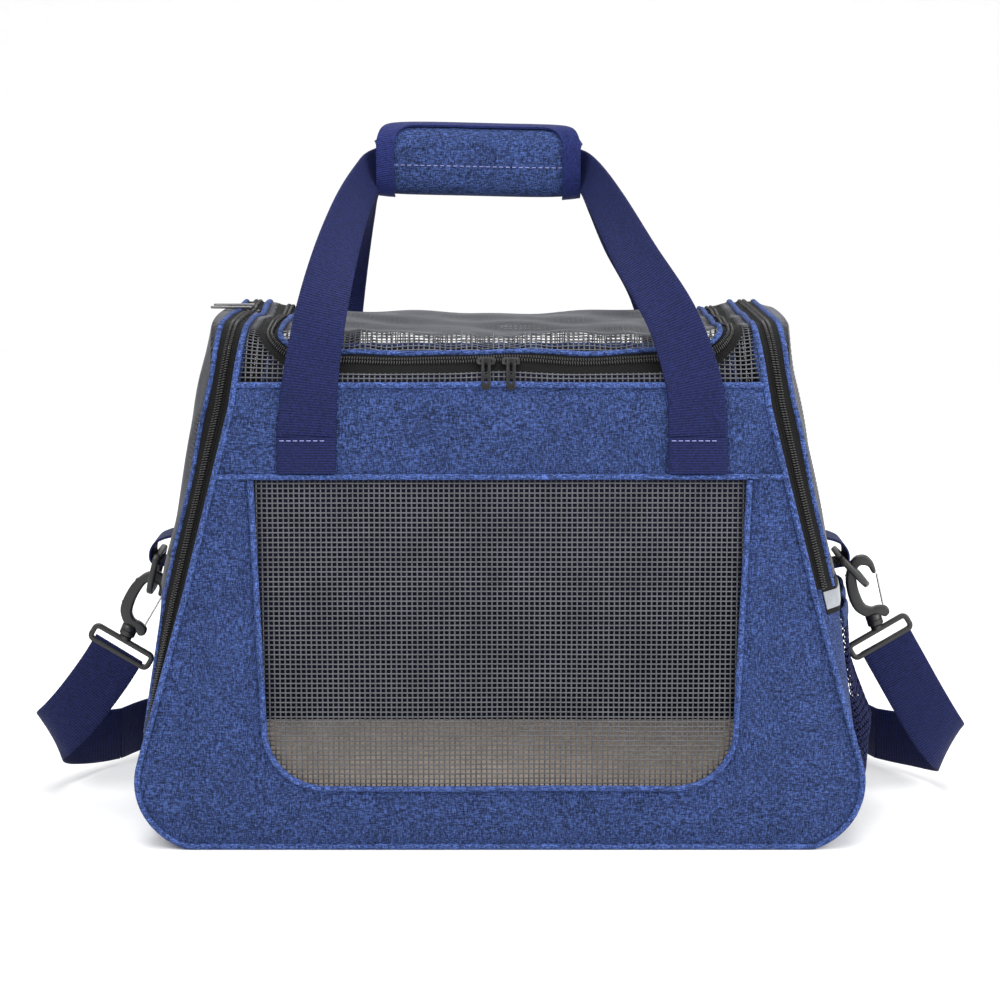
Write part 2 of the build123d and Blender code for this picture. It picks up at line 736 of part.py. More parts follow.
def snap_hook(knuckle, lean):
    """Hook frame with its swivel barrel."""
    plane = clip_plane(knuckle, lean)
    with BuildPart() as hook:
        with BuildSketch(plane):
            with BuildLine():
                Polyline(*HOOK_OUTLINE, close=True)
            make_face()
        extrude(amount=HOOK_THICK / 2, both=True)
        stem = Plane(origin=knuckle, x_dir=Vector(0, 1, 0), z_dir=plane.y_dir)
        with BuildSketch(stem.offset(BARREL_LOW)):
            Circle(BARREL_RADIUS)
        extrude(amount=BARREL_LONG)
        with BuildSketch(stem.offset(BARREL_LOW)):
            Circle(POST_RADIUS + 0.4)
        extrude(amount=BARREL_LONG - 1.0, mode=Mode.SUBTRACT)
    return hook


def gate_wire(knuckle, lean):
    """Sprung wire gate, two strands joined by an eye."""
    plane = clip_plane(knuckle, lean)
    foot = plane.from_local_coords((9.0, 9.6))
    tip = plane.from_local_coords((11.2, 31.0))
    run = Vector(*tip) - Vector(*foot)
    with BuildPart() as gate:
        for y in (-1.6, 1.6):
            start = Vector(*foot) + Vector(0, y, 0)
            with BuildSketch(Plane(origin=start, z_dir=run)):
                Circle(0.7)
            extrude(amount=run.length)
        with BuildSketch(Plane(origin=tip, z_dir=run)):
            Rectangle(2.2, 4.8)
        extrude(amount=-1.6)
    return gate


LOOP_WIDE, LOOP_HIGH, LOOP_BAR, LOOP_DROP = 49.0, 14.0, 3.8, 11.8


def strap_loop(knuckle, lean, tilt):
    """Rectangular loop with its swivel post, that the strap is sewn round."""
    plane = clip_plane(knuckle, lean)
    centre = Vector(*plane.from_local_coords((0, -LOOP_DROP)))
    turned = clip_plane(centre, tilt)
    stem = Plane(origin=knuckle, x_dir=Vector(0, 1, 0), z_dir=plane.y_dir)
    with BuildPart() as loop:
        with BuildSketch(turned):
            RectangleRounded(LOOP_WIDE, LOOP_HIGH, 5)
            RectangleRounded(
                LOOP_WIDE - 2 * LOOP_BAR, LOOP_HIGH - 2 * LOOP_BAR, 1.5, mode=Mode.SUBTRACT
            )
        extrude(amount=LOOP_BAR / 2, both=True)
        with BuildSketch(stem.offset(LOOP_HIGH / 2 - LOOP_DROP - LOOP_BAR)):
            Circle(POST_RADIUS)
        extrude(amount=LOOP_DROP + LOOP_BAR - LOOP_HIGH / 2 + BARREL_LOW + BARREL_LONG - 2.0)
    return loop


LEFT_KNUCKLE, LEFT_LEAN, LEFT_TILT = Vector(-260.8, 0, 119.0), 24.8, 31.0
RIGHT_KNUCKLE, RIGHT_LEAN, RIGHT_TILT = Vector(262.6, 0, 126.6), -19.0, -31.0
write(d_ring(LEFT_RING, LEFT_RING_LEAN), "left_d_ring")
write(d_ring(RIGHT_RING, RIGHT_RING_LEAN), "right_d_ring")
write(snap_hook(LEFT_KNUCKLE, LEFT_LEAN), "left_hook")
write(snap_hook(RIGHT_KNUCKLE, RIGHT_LEAN), "right_hook")
write(gate_wire(LEFT_KNUCKLE, LEFT_LEAN), "left_gate")
write(gate_wire(RIGHT_KNUCKLE, RIGHT_LEAN), "right_gate")
write(strap_loop(LEFT_KNUCKLE, LEFT_LEAN, LEFT_TILT), "left_strap_loop")
write(strap_loop(RIGHT_KNUCKLE, RIGHT_LEAN, RIGHT_TILT), "right_strap_loop")

# ---- shoulder strap ----
STRAP_Z = WEB_WIDTH / 2 + 0.3
LIFTED_Z = STRAP_Z + 4.2
LEFT_DROP = (
    ((-270.4, 0, 100.8), (0.86, 0, -0.51)),
    ((-288.0, 0, 75.0), (0.80, 0, -0.60)),
    ((-305.0, 3, 52.0), (0.66, 0, -0.75)),
    ((-311.0, 16, 40.0), (0.48, 0.1, -0.87)),
    ((-306.0, 36, 30.0), (0.25, 0.1, -0.96)),
    ((-293.0, 62, LIFTED_Z), (0.05, 0, -1)),
    ((-281.0, 84, LIFTED_Z), (0, 0, -1)),
)
BACK_RUN = (
    (-280.2, 86.2), (-268.0, 110.0), (-248.0, 136.0), (-215.0, 156.0), (-150.0, 166.0),
    (-60.0, 168.0), (60.0, 167.0), (150.0, 165.0), (215.0, 155.0), (250.0, 134.0),
    (269.0, 108.0), (278.2, 86.2),
)
BACK_RUN_BEND = 40.0
RIGHT_DROP = (
    ((273.4, 0, 108.5), (0.86, 0, 0.51)),
    ((290.0, 0, 78.0), (0.80, 0, 0.60)),
    ((307.0, 3, 46.0), (0.68, 0, 0.73)),
    ((311.0, 16, 35.0), (0.50, -0.1, 0.86)),
    ((305.0, 36, 27.0), (0.25, -0.1, 0.96)),
    ((291.0, 62, LIFTED_Z), (0.05, 0, 1)),
    ((279.0, 84, LIFTED_Z), (0, 0, 1)),
)
for name, stations in (("left_strap_drop", LEFT_DROP), ("right_strap_drop", RIGHT_DROP)):
    gather(name, [ribbon([(place, across, WEB_WIDTH, STRAP_THICK) for place, across in stations])])
with BuildPart() as strap_back_run:
    with BuildSketch(Plane.XY.offset(LIFTED_Z - WEB_WIDTH / 2)):
        with BuildLine() as route:
            FilletPolyline(*BACK_RUN, radius=BACK_RUN_BEND)
        trace(route.edges(), line_width=STRAP_THICK)
    extrude(amount=WEB_WIDTH)
write(strap_back_run, "strap_back_run")

ADJUSTER_X, ADJUSTER_Y = -105.0, 167.0
ADJUSTER_LONG, ADJUSTER_DEEP, ADJUSTER_HIGH = 24.0, 7.6, 46.0
STRAP_ROOM, SLOT_HIGH = 4.2, 39.0
with BuildPart() as strap_adjuster:
    with Locations((ADJUSTER_X, ADJUSTER_Y, LIFTED_Z)):
        Box(ADJUSTER_LONG, ADJUSTER_DEEP, ADJUSTER_HIGH)
        Box(ADJUSTER_LONG + 2, STRAP_ROOM, SLOT_HIGH, mode=Mode.SUBTRACT)
        Box(ADJUSTER_LONG - 10, ADJUSTER_DEEP + 2, SLOT_HIGH, mode=Mode.SUBTRACT)
write(strap_adjuster, "strap_adjuster")
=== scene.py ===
from math import cos, pi, radians, sin

import bmesh
import bpy
import numpy as np
from mathutils import Matrix, Vector


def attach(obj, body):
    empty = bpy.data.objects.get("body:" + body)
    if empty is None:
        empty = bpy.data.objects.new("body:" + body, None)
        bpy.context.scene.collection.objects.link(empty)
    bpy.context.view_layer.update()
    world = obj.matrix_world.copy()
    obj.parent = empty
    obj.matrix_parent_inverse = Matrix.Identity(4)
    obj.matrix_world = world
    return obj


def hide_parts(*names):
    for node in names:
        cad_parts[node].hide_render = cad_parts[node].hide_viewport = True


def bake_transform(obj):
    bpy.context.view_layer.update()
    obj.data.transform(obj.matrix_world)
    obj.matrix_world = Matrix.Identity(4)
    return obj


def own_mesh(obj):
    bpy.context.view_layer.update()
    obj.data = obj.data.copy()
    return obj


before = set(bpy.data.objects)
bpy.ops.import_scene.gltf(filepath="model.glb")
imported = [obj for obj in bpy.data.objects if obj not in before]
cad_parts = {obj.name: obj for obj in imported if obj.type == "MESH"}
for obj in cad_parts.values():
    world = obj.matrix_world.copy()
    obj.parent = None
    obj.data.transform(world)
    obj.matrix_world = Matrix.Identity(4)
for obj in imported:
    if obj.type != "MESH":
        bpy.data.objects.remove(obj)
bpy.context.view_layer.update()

# Lengths below are in millimetres and become metres where a mesh is made.
MM = 0.001

# ---- the bag's form: half widths at four heights, as in the CAD model ----
LEVELS = (0.0, 170.0, 294.0, 340.0)
SEAM_X = (252.6, 204.0, 172.0, 165.0)
DOOR_X = (246.0, 220.0, 191.5, 183.0)
MIDDLE_X = (241.0, 229.5, 204.0, 193.0)
DEPTH, HEIGHT, TOP_R, CORNER_R, CORNER_X = 125.0, 340.0, 46.0, 45.0, 192.9
DOOR_IN, DOOR_R = 18.0, 14.0
DOOR_DEPTH, DOOR_TOP_R = DEPTH - DOOR_IN, TOP_R - DOOR_R
# Where the straight seam meets the round corner: the height, and the angle round the corner.
CORNER_TOP, CORNER_START = 57.4, radians(164.05)
YOKE_LOW, YOKE_HIGH = 248.6, 307.6
WINDOW_TOP_X, WINDOW_LOW_X, WINDOW_LOW, WINDOW_R = 160.5, 152.0, 42.0, 40.0
HINGE_Z = 193.0
LEFT_MESH_Z, RIGHT_MESH_Z = 170.0, 179.0
LEFT_ZIP_Z, RIGHT_ZIP_Z = 75.0, 174.0
SPLIT_X, SPLIT_FRONT, SPLIT_R, FLAP_REAR = 149.6, 113.4, 23.0, 80.0
WEB, WEB_THICK = 38.0, 1.7
PIPE = 2.0
TAPE_THICK = 1.0
MESH_PITCH, MESH_THREAD = 3.45, 0.50
MAT_LOW = 6.4


# ---- numbers ----
def smooth(value, low, high):
    """0 below low, 1 above high, and a soft step between."""
    t = np.clip((np.asarray(value, float) - low) / (high - low), 0, 1)
    return t * t * (3 - 2 * t)


def waves(points, size, seed, count=7):
    """A smooth random field of about unit height, with waves of about the given length."""
    rng = np.random.default_rng(seed)
    total = np.zeros(len(points))
    for _ in range(count):
        direction = rng.normal(size=3)
        direction /= np.linalg.norm(direction)
        length = size * rng.uniform(0.7, 1.5)
        total += np.sin(points @ direction * 2 * pi / length + rng.uniform(0, 2 * pi))
    return total / count ** 0.5


def seam_x(z):
    straight = np.interp(z, LEVELS, SEAM_X)
    low = np.clip(np.asarray(z, float), 0, CORNER_TOP)
    rounded = CORNER_X + np.sqrt(np.maximum(CORNER_R ** 2 - (low - CORNER_R) ** 2, 0))
    return np.where(np.asarray(z) < CORNER_TOP, rounded, straight)


def end_profile(z, widths):
    """Half width at a height, with the bottom corner rounded in."""
    straight = np.interp(z, LEVELS, widths)
    low = np.clip(np.asarray(z, float), 0, CORNER_R)
    drop = CORNER_R - np.sqrt(np.maximum(CORNER_R ** 2 - (CORNER_R - low) ** 2, 0))
    return straight - drop


def soften(points):
    """Moves points of the ideal form to where the slack cloth lies."""
    p = np.asarray(points, float)
    shape = p.shape
    p = p.reshape(-1, 3)
    q = p.copy()
    x, y, z = p.T
    crown = smooth(z, 306, 338)
    middle = np.clip(1 - (np.abs(x) / 160) ** 2, 0, 1)
    q[:, 2] += crown * (-4.5 * middle + 4.0 * smooth(np.abs(x), 150, 178))
    q[:, 2] += crown * smooth(172 - np.abs(x), 0, 14) * 1.3 * waves(p * (1, 0.6, 1), 46, 3)
    held = np.exp(-(((x + 170.4) / 14) ** 2 + ((y - 17.5) / 24) ** 2))
    q[:, 2] -= crown * held * 3.2
    pulled = np.exp(-(((x + 1) / 24) ** 2 + ((z - 322) / 15) ** 2)) * smooth(-y, 90, 110)
    q[:, 2] += pulled * 1.9
    face = smooth(np.abs(y), 100, 122) * (1 - crown)
    swell = 2.4 * np.sin(pi * np.clip(z / 245, 0, 1)) + 0.7 * waves(p, 120, 5)
    for side in (-1, 1):
        near = np.exp(-(((x - side * 196) / 26) ** 2 + ((z - 86) / 44) ** 2))
        swell += 1.5 * near * np.sin((side * x * 0.75 + z * 0.55) / 7.5)
        high = np.exp(-(((x - side * 172) / 16) ** 2 + ((z - 205) / 40) ** 2))
        swell += 0.9 * high * np.sin((side * x - z * 0.35) / 6.5)
    q[:, 1] += np.sign(y) * face * swell * smooth(z, 4, 40)
    end = smooth(np.abs(x) - seam_x(z), 9, 26) * smooth(z, 20, 60) * (1 - crown)
    q[:, 0] += np.sign(x) * end * (1.6 * waves(p, 70, 11) - 1.2)
    return q.reshape(shape)


# ---- meshes ----
def grid_faces(rows, cols, wrap_rows=False, wrap_cols=False):
    i, j = np.meshgrid(
        np.arange(rows if wrap_rows else rows - 1),
        np.arange(cols if wrap_cols else cols - 1),
        indexing="ij",
    )
    i2, j2 = (i + 1) % rows, (j + 1) % cols
    quads = [i * cols + j, i * cols + j2, i2 * cols + j2, i2 * cols + j]
    return np.stack(quads, -1).reshape(-1, 4)


def turned_out(points, quads):
    """The quads, turned over if the closed form that they make is inside out."""
    a, b, c, d = (np.asarray(points)[quads] - np.mean(points, 0)).transpose(1, 0, 2)
    volume = np.sum(a * np.cross(b, c)) + np.sum(a * np.cross(c, d))
    return quads if volume > 0 else quads[:, ::-1]


def make(name, points, faces, finish, uv=None, sharp=50):
    """A mesh object from points in millimetres, with one material."""
    if isinstance(faces, np.ndarray):
        faces = turned_out(points, faces)
    mesh = bpy.data.meshes.new(name)
    mesh.from_pydata((np.asarray(points) * MM).tolist(), [], list(map(list, faces)))
    mesh.update()
    mesh.polygons.foreach_set("use_smooth", [True] * len(mesh.polygons))
    if sharp:
        mesh.set_sharp_from_angle(angle=radians(sharp))
    if uv is not None:
        layer = mesh.uv_layers.new(name="length")
        corners = np.zeros(len(mesh.loops), int)
        mesh.loops.foreach_get("vertex_index", corners)
        layer.data.foreach_set("uv", np.asarray(uv, float)[corners].ravel())
    piece = bpy.data.objects.new(name, mesh)
    bpy.context.scene.collection.objects.link(piece)
    mesh.materials.append(finish)
    return piece


def unit(v):
    return v / np.maximum(np.linalg.norm(v, axis=-1, keepdims=True), 1e-9)


def lengths_along(grid, axis):
    """Distance from the first row or column, measured over the surface."""
    steps = np.linalg.norm(np.diff(grid, axis=axis), axis=-1)
    run = np.cumsum(steps, axis=axis)
    pad = [(0, 0), (0, 0)]
    pad[axis] = (1, 0)
    return np.pad(run, pad)


def slab(name, grid, thick, finish, flip=False, wrap_cols=False):
    """A closed sheet: a grid of points, and the same grid set back by its thickness."""
    rows, cols = grid.shape[:2]
    if wrap_cols:
        across = np.roll(grid, -1, 1) - np.roll(grid, 1, 1)
    else:
        across = np.gradient(grid, axis=1)
    normal = unit(np.cross(np.gradient(grid, axis=0), across))
    if flip:
        normal = -normal
    both = np.concatenate([grid.reshape(-1, 3), (grid - normal * thick).reshape(-1, 3)])
    count = rows * cols
    face = grid_faces(rows, cols, wrap_cols=wrap_cols)
    parts = [face[:, ::-1] if flip else face, (face if flip else face[:, ::-1]) + count]
    index = np.arange(count).reshape(rows, cols)
    edges = [index[0, ::-1], index[-1]]
    if wrap_cols:
        edges = [np.append(e, e[0]) for e in (index[0], index[-1])]
        edges[0] = edges[0][::-1]
    else:
        edges += [index[:, 0], index[::-1, -1]]
    for line in edges:
        a, b = line[:-1], line[1:]
        rim = np.stack([a, b, b + count, a + count], 1)
        parts.append(rim[:, ::-1] if flip else rim)
    uv = np.stack([lengths_along(grid, 0), lengths_along(grid, 1)], -1).reshape(-1, 2)
    faces = np.concatenate(parts)
    return make(name, both, faces, finish, np.concatenate([uv, uv]))


def frames_along(path, up):
    tangent = unit(np.gradient(path, axis=0))
    side = unit(np.cross(tangent, up))
    return tangent, side, np.cross(side, tangent)


def sweep(name, path, finish, section, up=(0, 0, 1), closed=False):
    """A closed outline of (side, up) points swept along a path, with flat ends."""
    path = np.asarray(path, float)
    up = np.broadcast_to(np.asarray(up, float), path.shape)
    if closed:
        tangent = unit(np.roll(path, -1, 0) - np.roll(path, 1, 0))
        side = unit(np.cross(tangent, up))
        top = np.cross(side, tangent)
    else:
        _, side, top = frames_along(path, up)
    section = np.asarray(section, float)
    rings = section if section.ndim == 3 else np.broadcast_to(section, (len(path), *section.shape))
    points = path[:, None] + side[:, None] * rings[..., :1] + top[:, None] * rings[..., 1:]
    along = lengths_along(path[:, None], 0)
    around = np.cumsum(np.linalg.norm(np.diff(rings[0], axis=0, prepend=rings[0][:1]), axis=1))
    return tube(name, points, finish, closed, along, around)


def tube(name, points, finish, closed=False, along=0.0, around=0.0, sharp=50):
    """A closed mesh from rings of points, with flat ends unless it runs round on itself."""
    rows, count = points.shape[:2]
    flat = points.reshape(-1, 3)
    quads = grid_faces(rows, count, wrap_rows=closed, wrap_cols=True)
    facing = turned_out(flat, quads)
    ends = []
    if not closed:
        first = list(range(count))
        last = [(rows - 1) * count + k for k in first]
        ends = [first[::-1], last] if facing is quads else [first, last[::-1]]
    uv = np.stack(np.broadcast_arrays(along, around, np.zeros((rows, count)))[:2], -1).reshape(-1, 2)
    return make(name, flat, facing.tolist() + ends, finish, uv, sharp)


def circle(radius, sides=10, squash=1.0):
    turn = np.arange(sides) * 2 * pi / sides
    return np.stack([np.cos(turn), np.sin(turn) * squash], 1) * radius


def flat_section(width, thick, ends=3):
    """A flat band's outline with rounded edges, and enough points across to bend."""
    r = thick / 2
    across = np.linspace(-width / 2 + r, width / 2 - r, 9)
    turn = np.linspace(-pi / 2, pi / 2, ends + 2)[1:-1]
    right = [(width / 2 - r + r * cos(a), r * sin(a)) for a in turn]
    left = [(-x, -y) for x, y in right]
    low = [(x, -r) for x in across]
    high = [(x, r) for x in across[::-1]]
    return np.array(low + right + high + left)


def curve_through(points, count):
    """A smooth run of points through the given ones, evenly spaced."""
    p = np.asarray(points, float)
    ghost = np.concatenate([[2 * p[0] - p[1]], p, [2 * p[-1] - p[-2]]])
    out = []
    for k in range(len(p) - 1):
        a, b, c, d = ghost[k:k + 4]
        t = np.linspace(0, 1, 24, endpoint=False)[:, None]
        out.append(
            0.5 * (2 * b + (c - a) * t + (2 * a - 5 * b + 4 * c - d) * t ** 2
                   + (3 * b - a - 3 * c + d) * t ** 3)
        )
    fine = np.concatenate([*out, p[-1:]])
    run = np.concatenate([[0], np.cumsum(np.linalg.norm(np.diff(fine, axis=0), axis=1))])
    at = np.linspace(0, run[-1], count)
    return np.stack([np.interp(at, run, fine[:, k]) for k in range(p.shape[1])], 1)


def threads(name, surface, rows, columns, finish, width=MESH_THREAD, step=9.0):
    """A net of threads over a surface. Rows are (b, a0, a1) and columns (a, b0, b1)."""
    points, faces, start = [], [], 0
    for lines, across, height in ((rows, False, 0.22), (columns, True, -0.1)):
        for fixed, low, high in lines:
            if high - low < 2:
                continue
            count = max(3, int((high - low) / step) + 1)
            moving = np.linspace(low, high, count)
            held = np.full(count, fixed)
            a, b = (held, moving) if across else (moving, held)
            middle, normal = surface(a, b)
            tangent = unit(np.gradient(middle, axis=0))
            side = np.cross(tangent, normal) * width
            out = normal * width * 0.62
            middle = middle + normal * height
            ring = np.stack([middle + side, middle + out, middle - side, middle - out], 1)
            points.append(ring.reshape(-1, 3))
            faces.append(grid_faces(count, 4, wrap_cols=True) + start)
            last = start + (count - 1) * 4
            faces.append(np.array([[start + 3, start + 2, start + 1, start], range(last, last + 4)]))
            start += 4 * count
    return make(name, np.concatenate(points), np.concatenate(faces), finish, sharp=None)


def surface_of(place):
    """Wraps a function of two lengths so that it gives softened points and normals."""
    def surface(a, b):
        near = soften(place(a, b))
        da = soften(place(a + 0.8, b)) - near
        db = soften(place(a, b + 0.8)) - near
        return near, unit(np.cross(da, db))
    return surface


def join(name, parts):
    """Makes one object of several, keeping their materials."""
    with bpy.context.temp_override(
        active_object=parts[0], object=parts[0], selected_objects=parts,
        selected_editable_objects=parts,
    ):
        bpy.ops.object.join()
    parts[0].name = name
    parts[0].data.name = name
    return parts[0]


def place_piece(piece, body, slot, *nodes):
    """Gives a piece its body and hides the CAD nodes that it stands for. The slot argument is not used."""
    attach(piece, body)
    if nodes:
        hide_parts(*nodes)
    return piece


# ---- materials ----
def new_material(name, colour, rough, metallic=0.0, sheen=0.0):
    made = bpy.data.materials.new(name)
    made.use_nodes = True
    shader = made.node_tree.nodes["Principled BSDF"]
    shader.inputs["Base Color"].default_value = (*colour, 1)
    shader.inputs["Roughness"].default_value = rough
    shader.inputs["Metallic"].default_value = metallic
    shader.inputs["Sheen Weight"].default_value = sheen
    shader.inputs["Specular IOR Level"].default_value = 0.5 if rough < 0.5 else 0.12
    return made, shader


def stretched_noise(made, source, scale, detail=2.0):
    """Noise whose grain has its own size along each axis."""
    nodes, links = made.node_tree.nodes, made.node_tree.links
    coords = nodes.new("ShaderNodeTexCoord")
    mapping = nodes.new("ShaderNodeMapping")
    mapping.inputs["Scale"].default_value = scale
    links.new(coords.outputs[source], mapping.inputs["Vector"])
    noise = nodes.new("ShaderNodeTexNoise")
    noise.inputs["Scale"].default_value = 1.0
    noise.inputs["Detail"].default_value = detail
    links.new(mapping.outputs["Vector"], noise.inputs["Vector"])
    return noise.outputs["Fac"]


def mixed(made, kind, first, second):
    node = made.node_tree.nodes.new("ShaderNodeMath")
    node.operation = kind
    for socket, value in zip(node.inputs, (first, second)):
        if isinstance(value, (int, float)):
            socket.default_value = value
        else:
            made.node_tree.links.new(value, socket)
    return node.outputs[0]


def weighed(made, first, first_share, second, second_share):
    """The sum of two factors, each by its share."""
    first = mixed(made, "MULTIPLY", first, first_share)
    second = mixed(made, "MULTIPLY", second, second_share)
    return mixed(made, "ADD", first, second)


def ramp(made, shader, factor, *stops):
    """Gives a shader colours at places along a factor."""
    node = made.node_tree.nodes.new("ShaderNodeValToRGB")
    elements = node.color_ramp.elements
    while len(elements) < len(stops):
        elements.new(0.5)
    for element, (at, colour) in zip(elements, stops):
        element.position = at
        element.color = (*colour, 1)
    made.node_tree.links.new(factor, node.inputs["Fac"])
    made.node_tree.links.new(node.outputs["Color"], shader.inputs["Base Color"])


def bump(made, shader, height, strength, distance):
    node = made.node_tree.nodes.new("ShaderNodeBump")
    node.inputs["Strength"].default_value = strength
    node.inputs["Distance"].default_value = distance
    made.node_tree.links.new(height, node.inputs["Height"])
    made.node_tree.links.new(node.outputs["Normal"], shader.inputs["Normal"])


def shades(colour, *factors):
    return [tuple(min(c * f, 1) for c in colour) for f in factors]


def heather(name, colour, rough=0.82):
    """Melange canvas: fine flecks along both yarn directions, and slow cloudy variation."""
    made, shader = new_material(name, colour, rough, sheen=0.015)
    flat = stretched_noise(made, "Object", (360, 360, 1700))
    tall = stretched_noise(made, "Object", (1700, 1700, 360))
    cloud = stretched_noise(made, "Object", (38, 38, 38), 3.0)
    yarns = weighed(made, flat, 0.5, tall, 0.5)
    tone = weighed(made, yarns, 0.93, cloud, 0.07)
    dark, mid, light = shades(colour, 0.22, 1.0, 2.9)
    ramp(made, shader, tone, (0.37, dark), (0.50, mid), (0.62, light))
    bump(made, shader, yarns, 0.55, 0.0005)
    return made


def ribbed(name, colour, pitch, rough=0.6, sheen=0.015, contrast=0.45, across=2.2):
    """Woven tape: ribs across its length, broken into picks, from the length map."""
    made, shader = new_material(name, colour, rough, sheen=sheen)
    nodes, links = made.node_tree.nodes, made.node_tree.links
    coords = nodes.new("ShaderNodeTexCoord")
    split = nodes.new("ShaderNodeSeparateXYZ")
    links.new(coords.outputs["UV"], split.inputs["Vector"])
    along = mixed(made, "SINE", mixed(made, "MULTIPLY", split.outputs["X"], 2 * pi / pitch), 0)
    over = mixed(made, "SINE", mixed(made, "MULTIPLY", split.outputs["Y"], 2 * pi / across), 0)
    weave = mixed(made, "MULTIPLY", along, mixed(made, "ADD", mixed(made, "MULTIPLY", over, 0.35), 0.75))
    grain = stretched_noise(made, "Object", (700, 700, 700))
    tone = weighed(made, weave, 0.22, grain, 1.0)
    dark, mid, light = shades(colour, 1 - contrast, 1.0, 1 + 1.4 * contrast)
    ramp(made, shader, tone, (0.28, dark), (0.5, mid), (0.74, light))
    bump(made, shader, weave, 0.6, 0.0004)
    return made


def grained(name, colour, rough, grain, depth, metallic=0.0, spread=0.25, sheen=0.0):
    """Moulded, plated or fuzzy surfaces: an even grain in colour, roughness and relief."""
    made, shader = new_material(name, colour, rough, metallic, sheen)
    fine = stretched_noise(made, "Object", (grain, grain, grain), 4.0)
    slow = stretched_noise(made, "Object", (60, 60, 60))
    tone = weighed(made, fine, 0.6, slow, 0.4)
    dark, light = shades(colour, 1 - spread, 1 + spread)
    ramp(made, shader, tone, (0.35, dark), (0.65, light))
    roughness = mixed(made, "ADD", mixed(made, "MULTIPLY", fine, 0.2), rough - 0.1)
    made.node_tree.links.new(roughness, shader.inputs["Roughness"])
    bump(made, shader, fine, 0.4, depth)
    return made


BLUE = (0.0175, 0.0305, 0.090)
NAVY = (0.0066, 0.0100, 0.0520)
CANVAS = heather("heather_canvas", BLUE)
PIPING = heather("heather_piping", tuple(c * 1.6 for c in BLUE))
# Painted shade: the lining is near black so that the inside of the bag reads dark through the nets.
INNER_SHADE_LINING = grained("lining_painted_inner_shade", (0.012, 0.014, 0.03), 0.9, 900, 0.0002)
WEBBING = ribbed("navy_webbing", NAVY, 1.7)
BINDING = ribbed("navy_binding", tuple(c * 1.7 for c in NAVY), 1.2)
TAPE = ribbed("black_tape", (0.0035, 0.0035, 0.0037), 1.1, 0.8, contrast=0.3, sheen=0.03)
COIL = grained("zip_coil", (0.018, 0.017, 0.017), 0.28, 1500, 0.0001)
# Partly painted shade: grey coated thread, set darker than its own tone so that the nets read as dark as the
# shaded inside behind them.
MESH = grained("coated_thread_painted_shade", (0.070, 0.072, 0.082), 0.45, 1200, 0.0002, spread=0.3)
NET = grained("navy_net", (0.010, 0.013, 0.055), 0.6, 1200, 0.0002)
TAUPE = grained("taupe_fleece", (0.34, 0.27, 0.205), 0.95, 1400, 0.0006, sheen=0.4)
SILVER = grained("reflective_tape", (0.25, 0.265, 0.29), 0.35, 2500, 0.0001, metallic=0.2)
PLASTIC = grained("black_acetal", (0.008, 0.008, 0.009), 0.38, 1100, 0.00012)
GUNMETAL = grained("gunmetal", (0.16, 0.16, 0.165), 0.32, 1500, 0.0001, metallic=0.9)
BLACKENED = grained("blackened_metal", (0.022, 0.021, 0.022), 0.3, 1500, 0.0001, metallic=0.7)
STEEL = grained("bright_wire", (0.62, 0.62, 0.62), 0.22, 2200, 0.00005, metallic=1.0)
BOARD = grained("board_plastic", (0.03, 0.03, 0.033), 0.6, 700, 0.0003)
STITCH = grained("stitch_thread", (0.20, 0.21, 0.42), 0.7, 1800, 0.0002)


# ---- the camera, in metres ----
CAMERA_Y, CAMERA_Z, CAMERA_DOWN, LENS = -1.7, 0.497, 9.5, 89.3
camera_data = bpy.data.cameras.new("camera")
camera_data.lens = LENS
camera_data.sensor_width = 36.0
camera = bpy.data.objects.new("camera", camera_data)
camera.location = (0, CAMERA_Y, CAMERA_Z)
camera.rotation_euler = (radians(90 - CAMERA_DOWN), 0, 0)
bpy.context.scene.collection.objects.link(camera)
bpy.context.scene.camera = camera


# ---- front and back panels ----
def window_line(count, grow=0.0):
    """Down the window's left side, along its foot and up its right side, in X and Z."""
    low, radius = WINDOW_LOW - grow, WINDOW_R + grow
    corner_x = WINDOW_LOW_X - WINDOW_R + 2
    turn = np.linspace(pi - 0.04, 3 * pi / 2, 14)
    corner = np.stack([-corner_x + radius * np.cos(turn), low + radius + radius * np.sin(turn)], 1)
    top = np.array([[-WINDOW_TOP_X - grow, YOKE_LOW - PIPE]])
    left = np.concatenate([np.linspace(top[0], corner[0], 16)[:-1], corner])
    foot = np.stack([np.linspace(-corner_x, 0, 16), np.full(16, low)], 1)[1:]
    half = np.concatenate([left, foot])
    line = np.concatenate([half, (half * (-1, 1))[::-1][1:]])
    return resample(line, count)


def body_line(count, inset=0.0, top=YOKE_LOW - PIPE):
    """Down the left seam, round the foot of the panel and up the right seam, in X and Z."""
    z = np.linspace(top, CORNER_TOP, 24)
    side = np.stack([-(seam_x(z) - inset), z], 1)
    turn = np.linspace(CORNER_START, 3 * pi / 2, 18)
    radius = CORNER_R - inset
    corner = np.stack([-CORNER_X + radius * np.cos(turn), CORNER_R + radius * np.sin(turn)], 1)
    foot = np.stack([np.linspace(-CORNER_X, 0, 16), np.full(16, inset)], 1)[1:]
    half = np.concatenate([side, corner[1:], foot])
    line = np.concatenate([half, (half * (-1, 1))[::-1][1:]])
    return resample(line, count)


def resample(line, count):
    run = np.concatenate([[0], np.cumsum(np.linalg.norm(np.diff(line, axis=0), axis=1))])
    at = np.linspace(0, run[-1], count)
    return np.stack([np.interp(at, run, line[:, k]) for k in range(line.shape[1])], 1)


def on_wall(flat, side, proud=0.0):
    """Points of X and Z on the front wall (side -1) or the back wall (side 1)."""
    y = np.full(flat.shape[:-1], side * (DEPTH + proud))
    return np.stack([flat[..., 0], y, flat[..., 1]], -1)


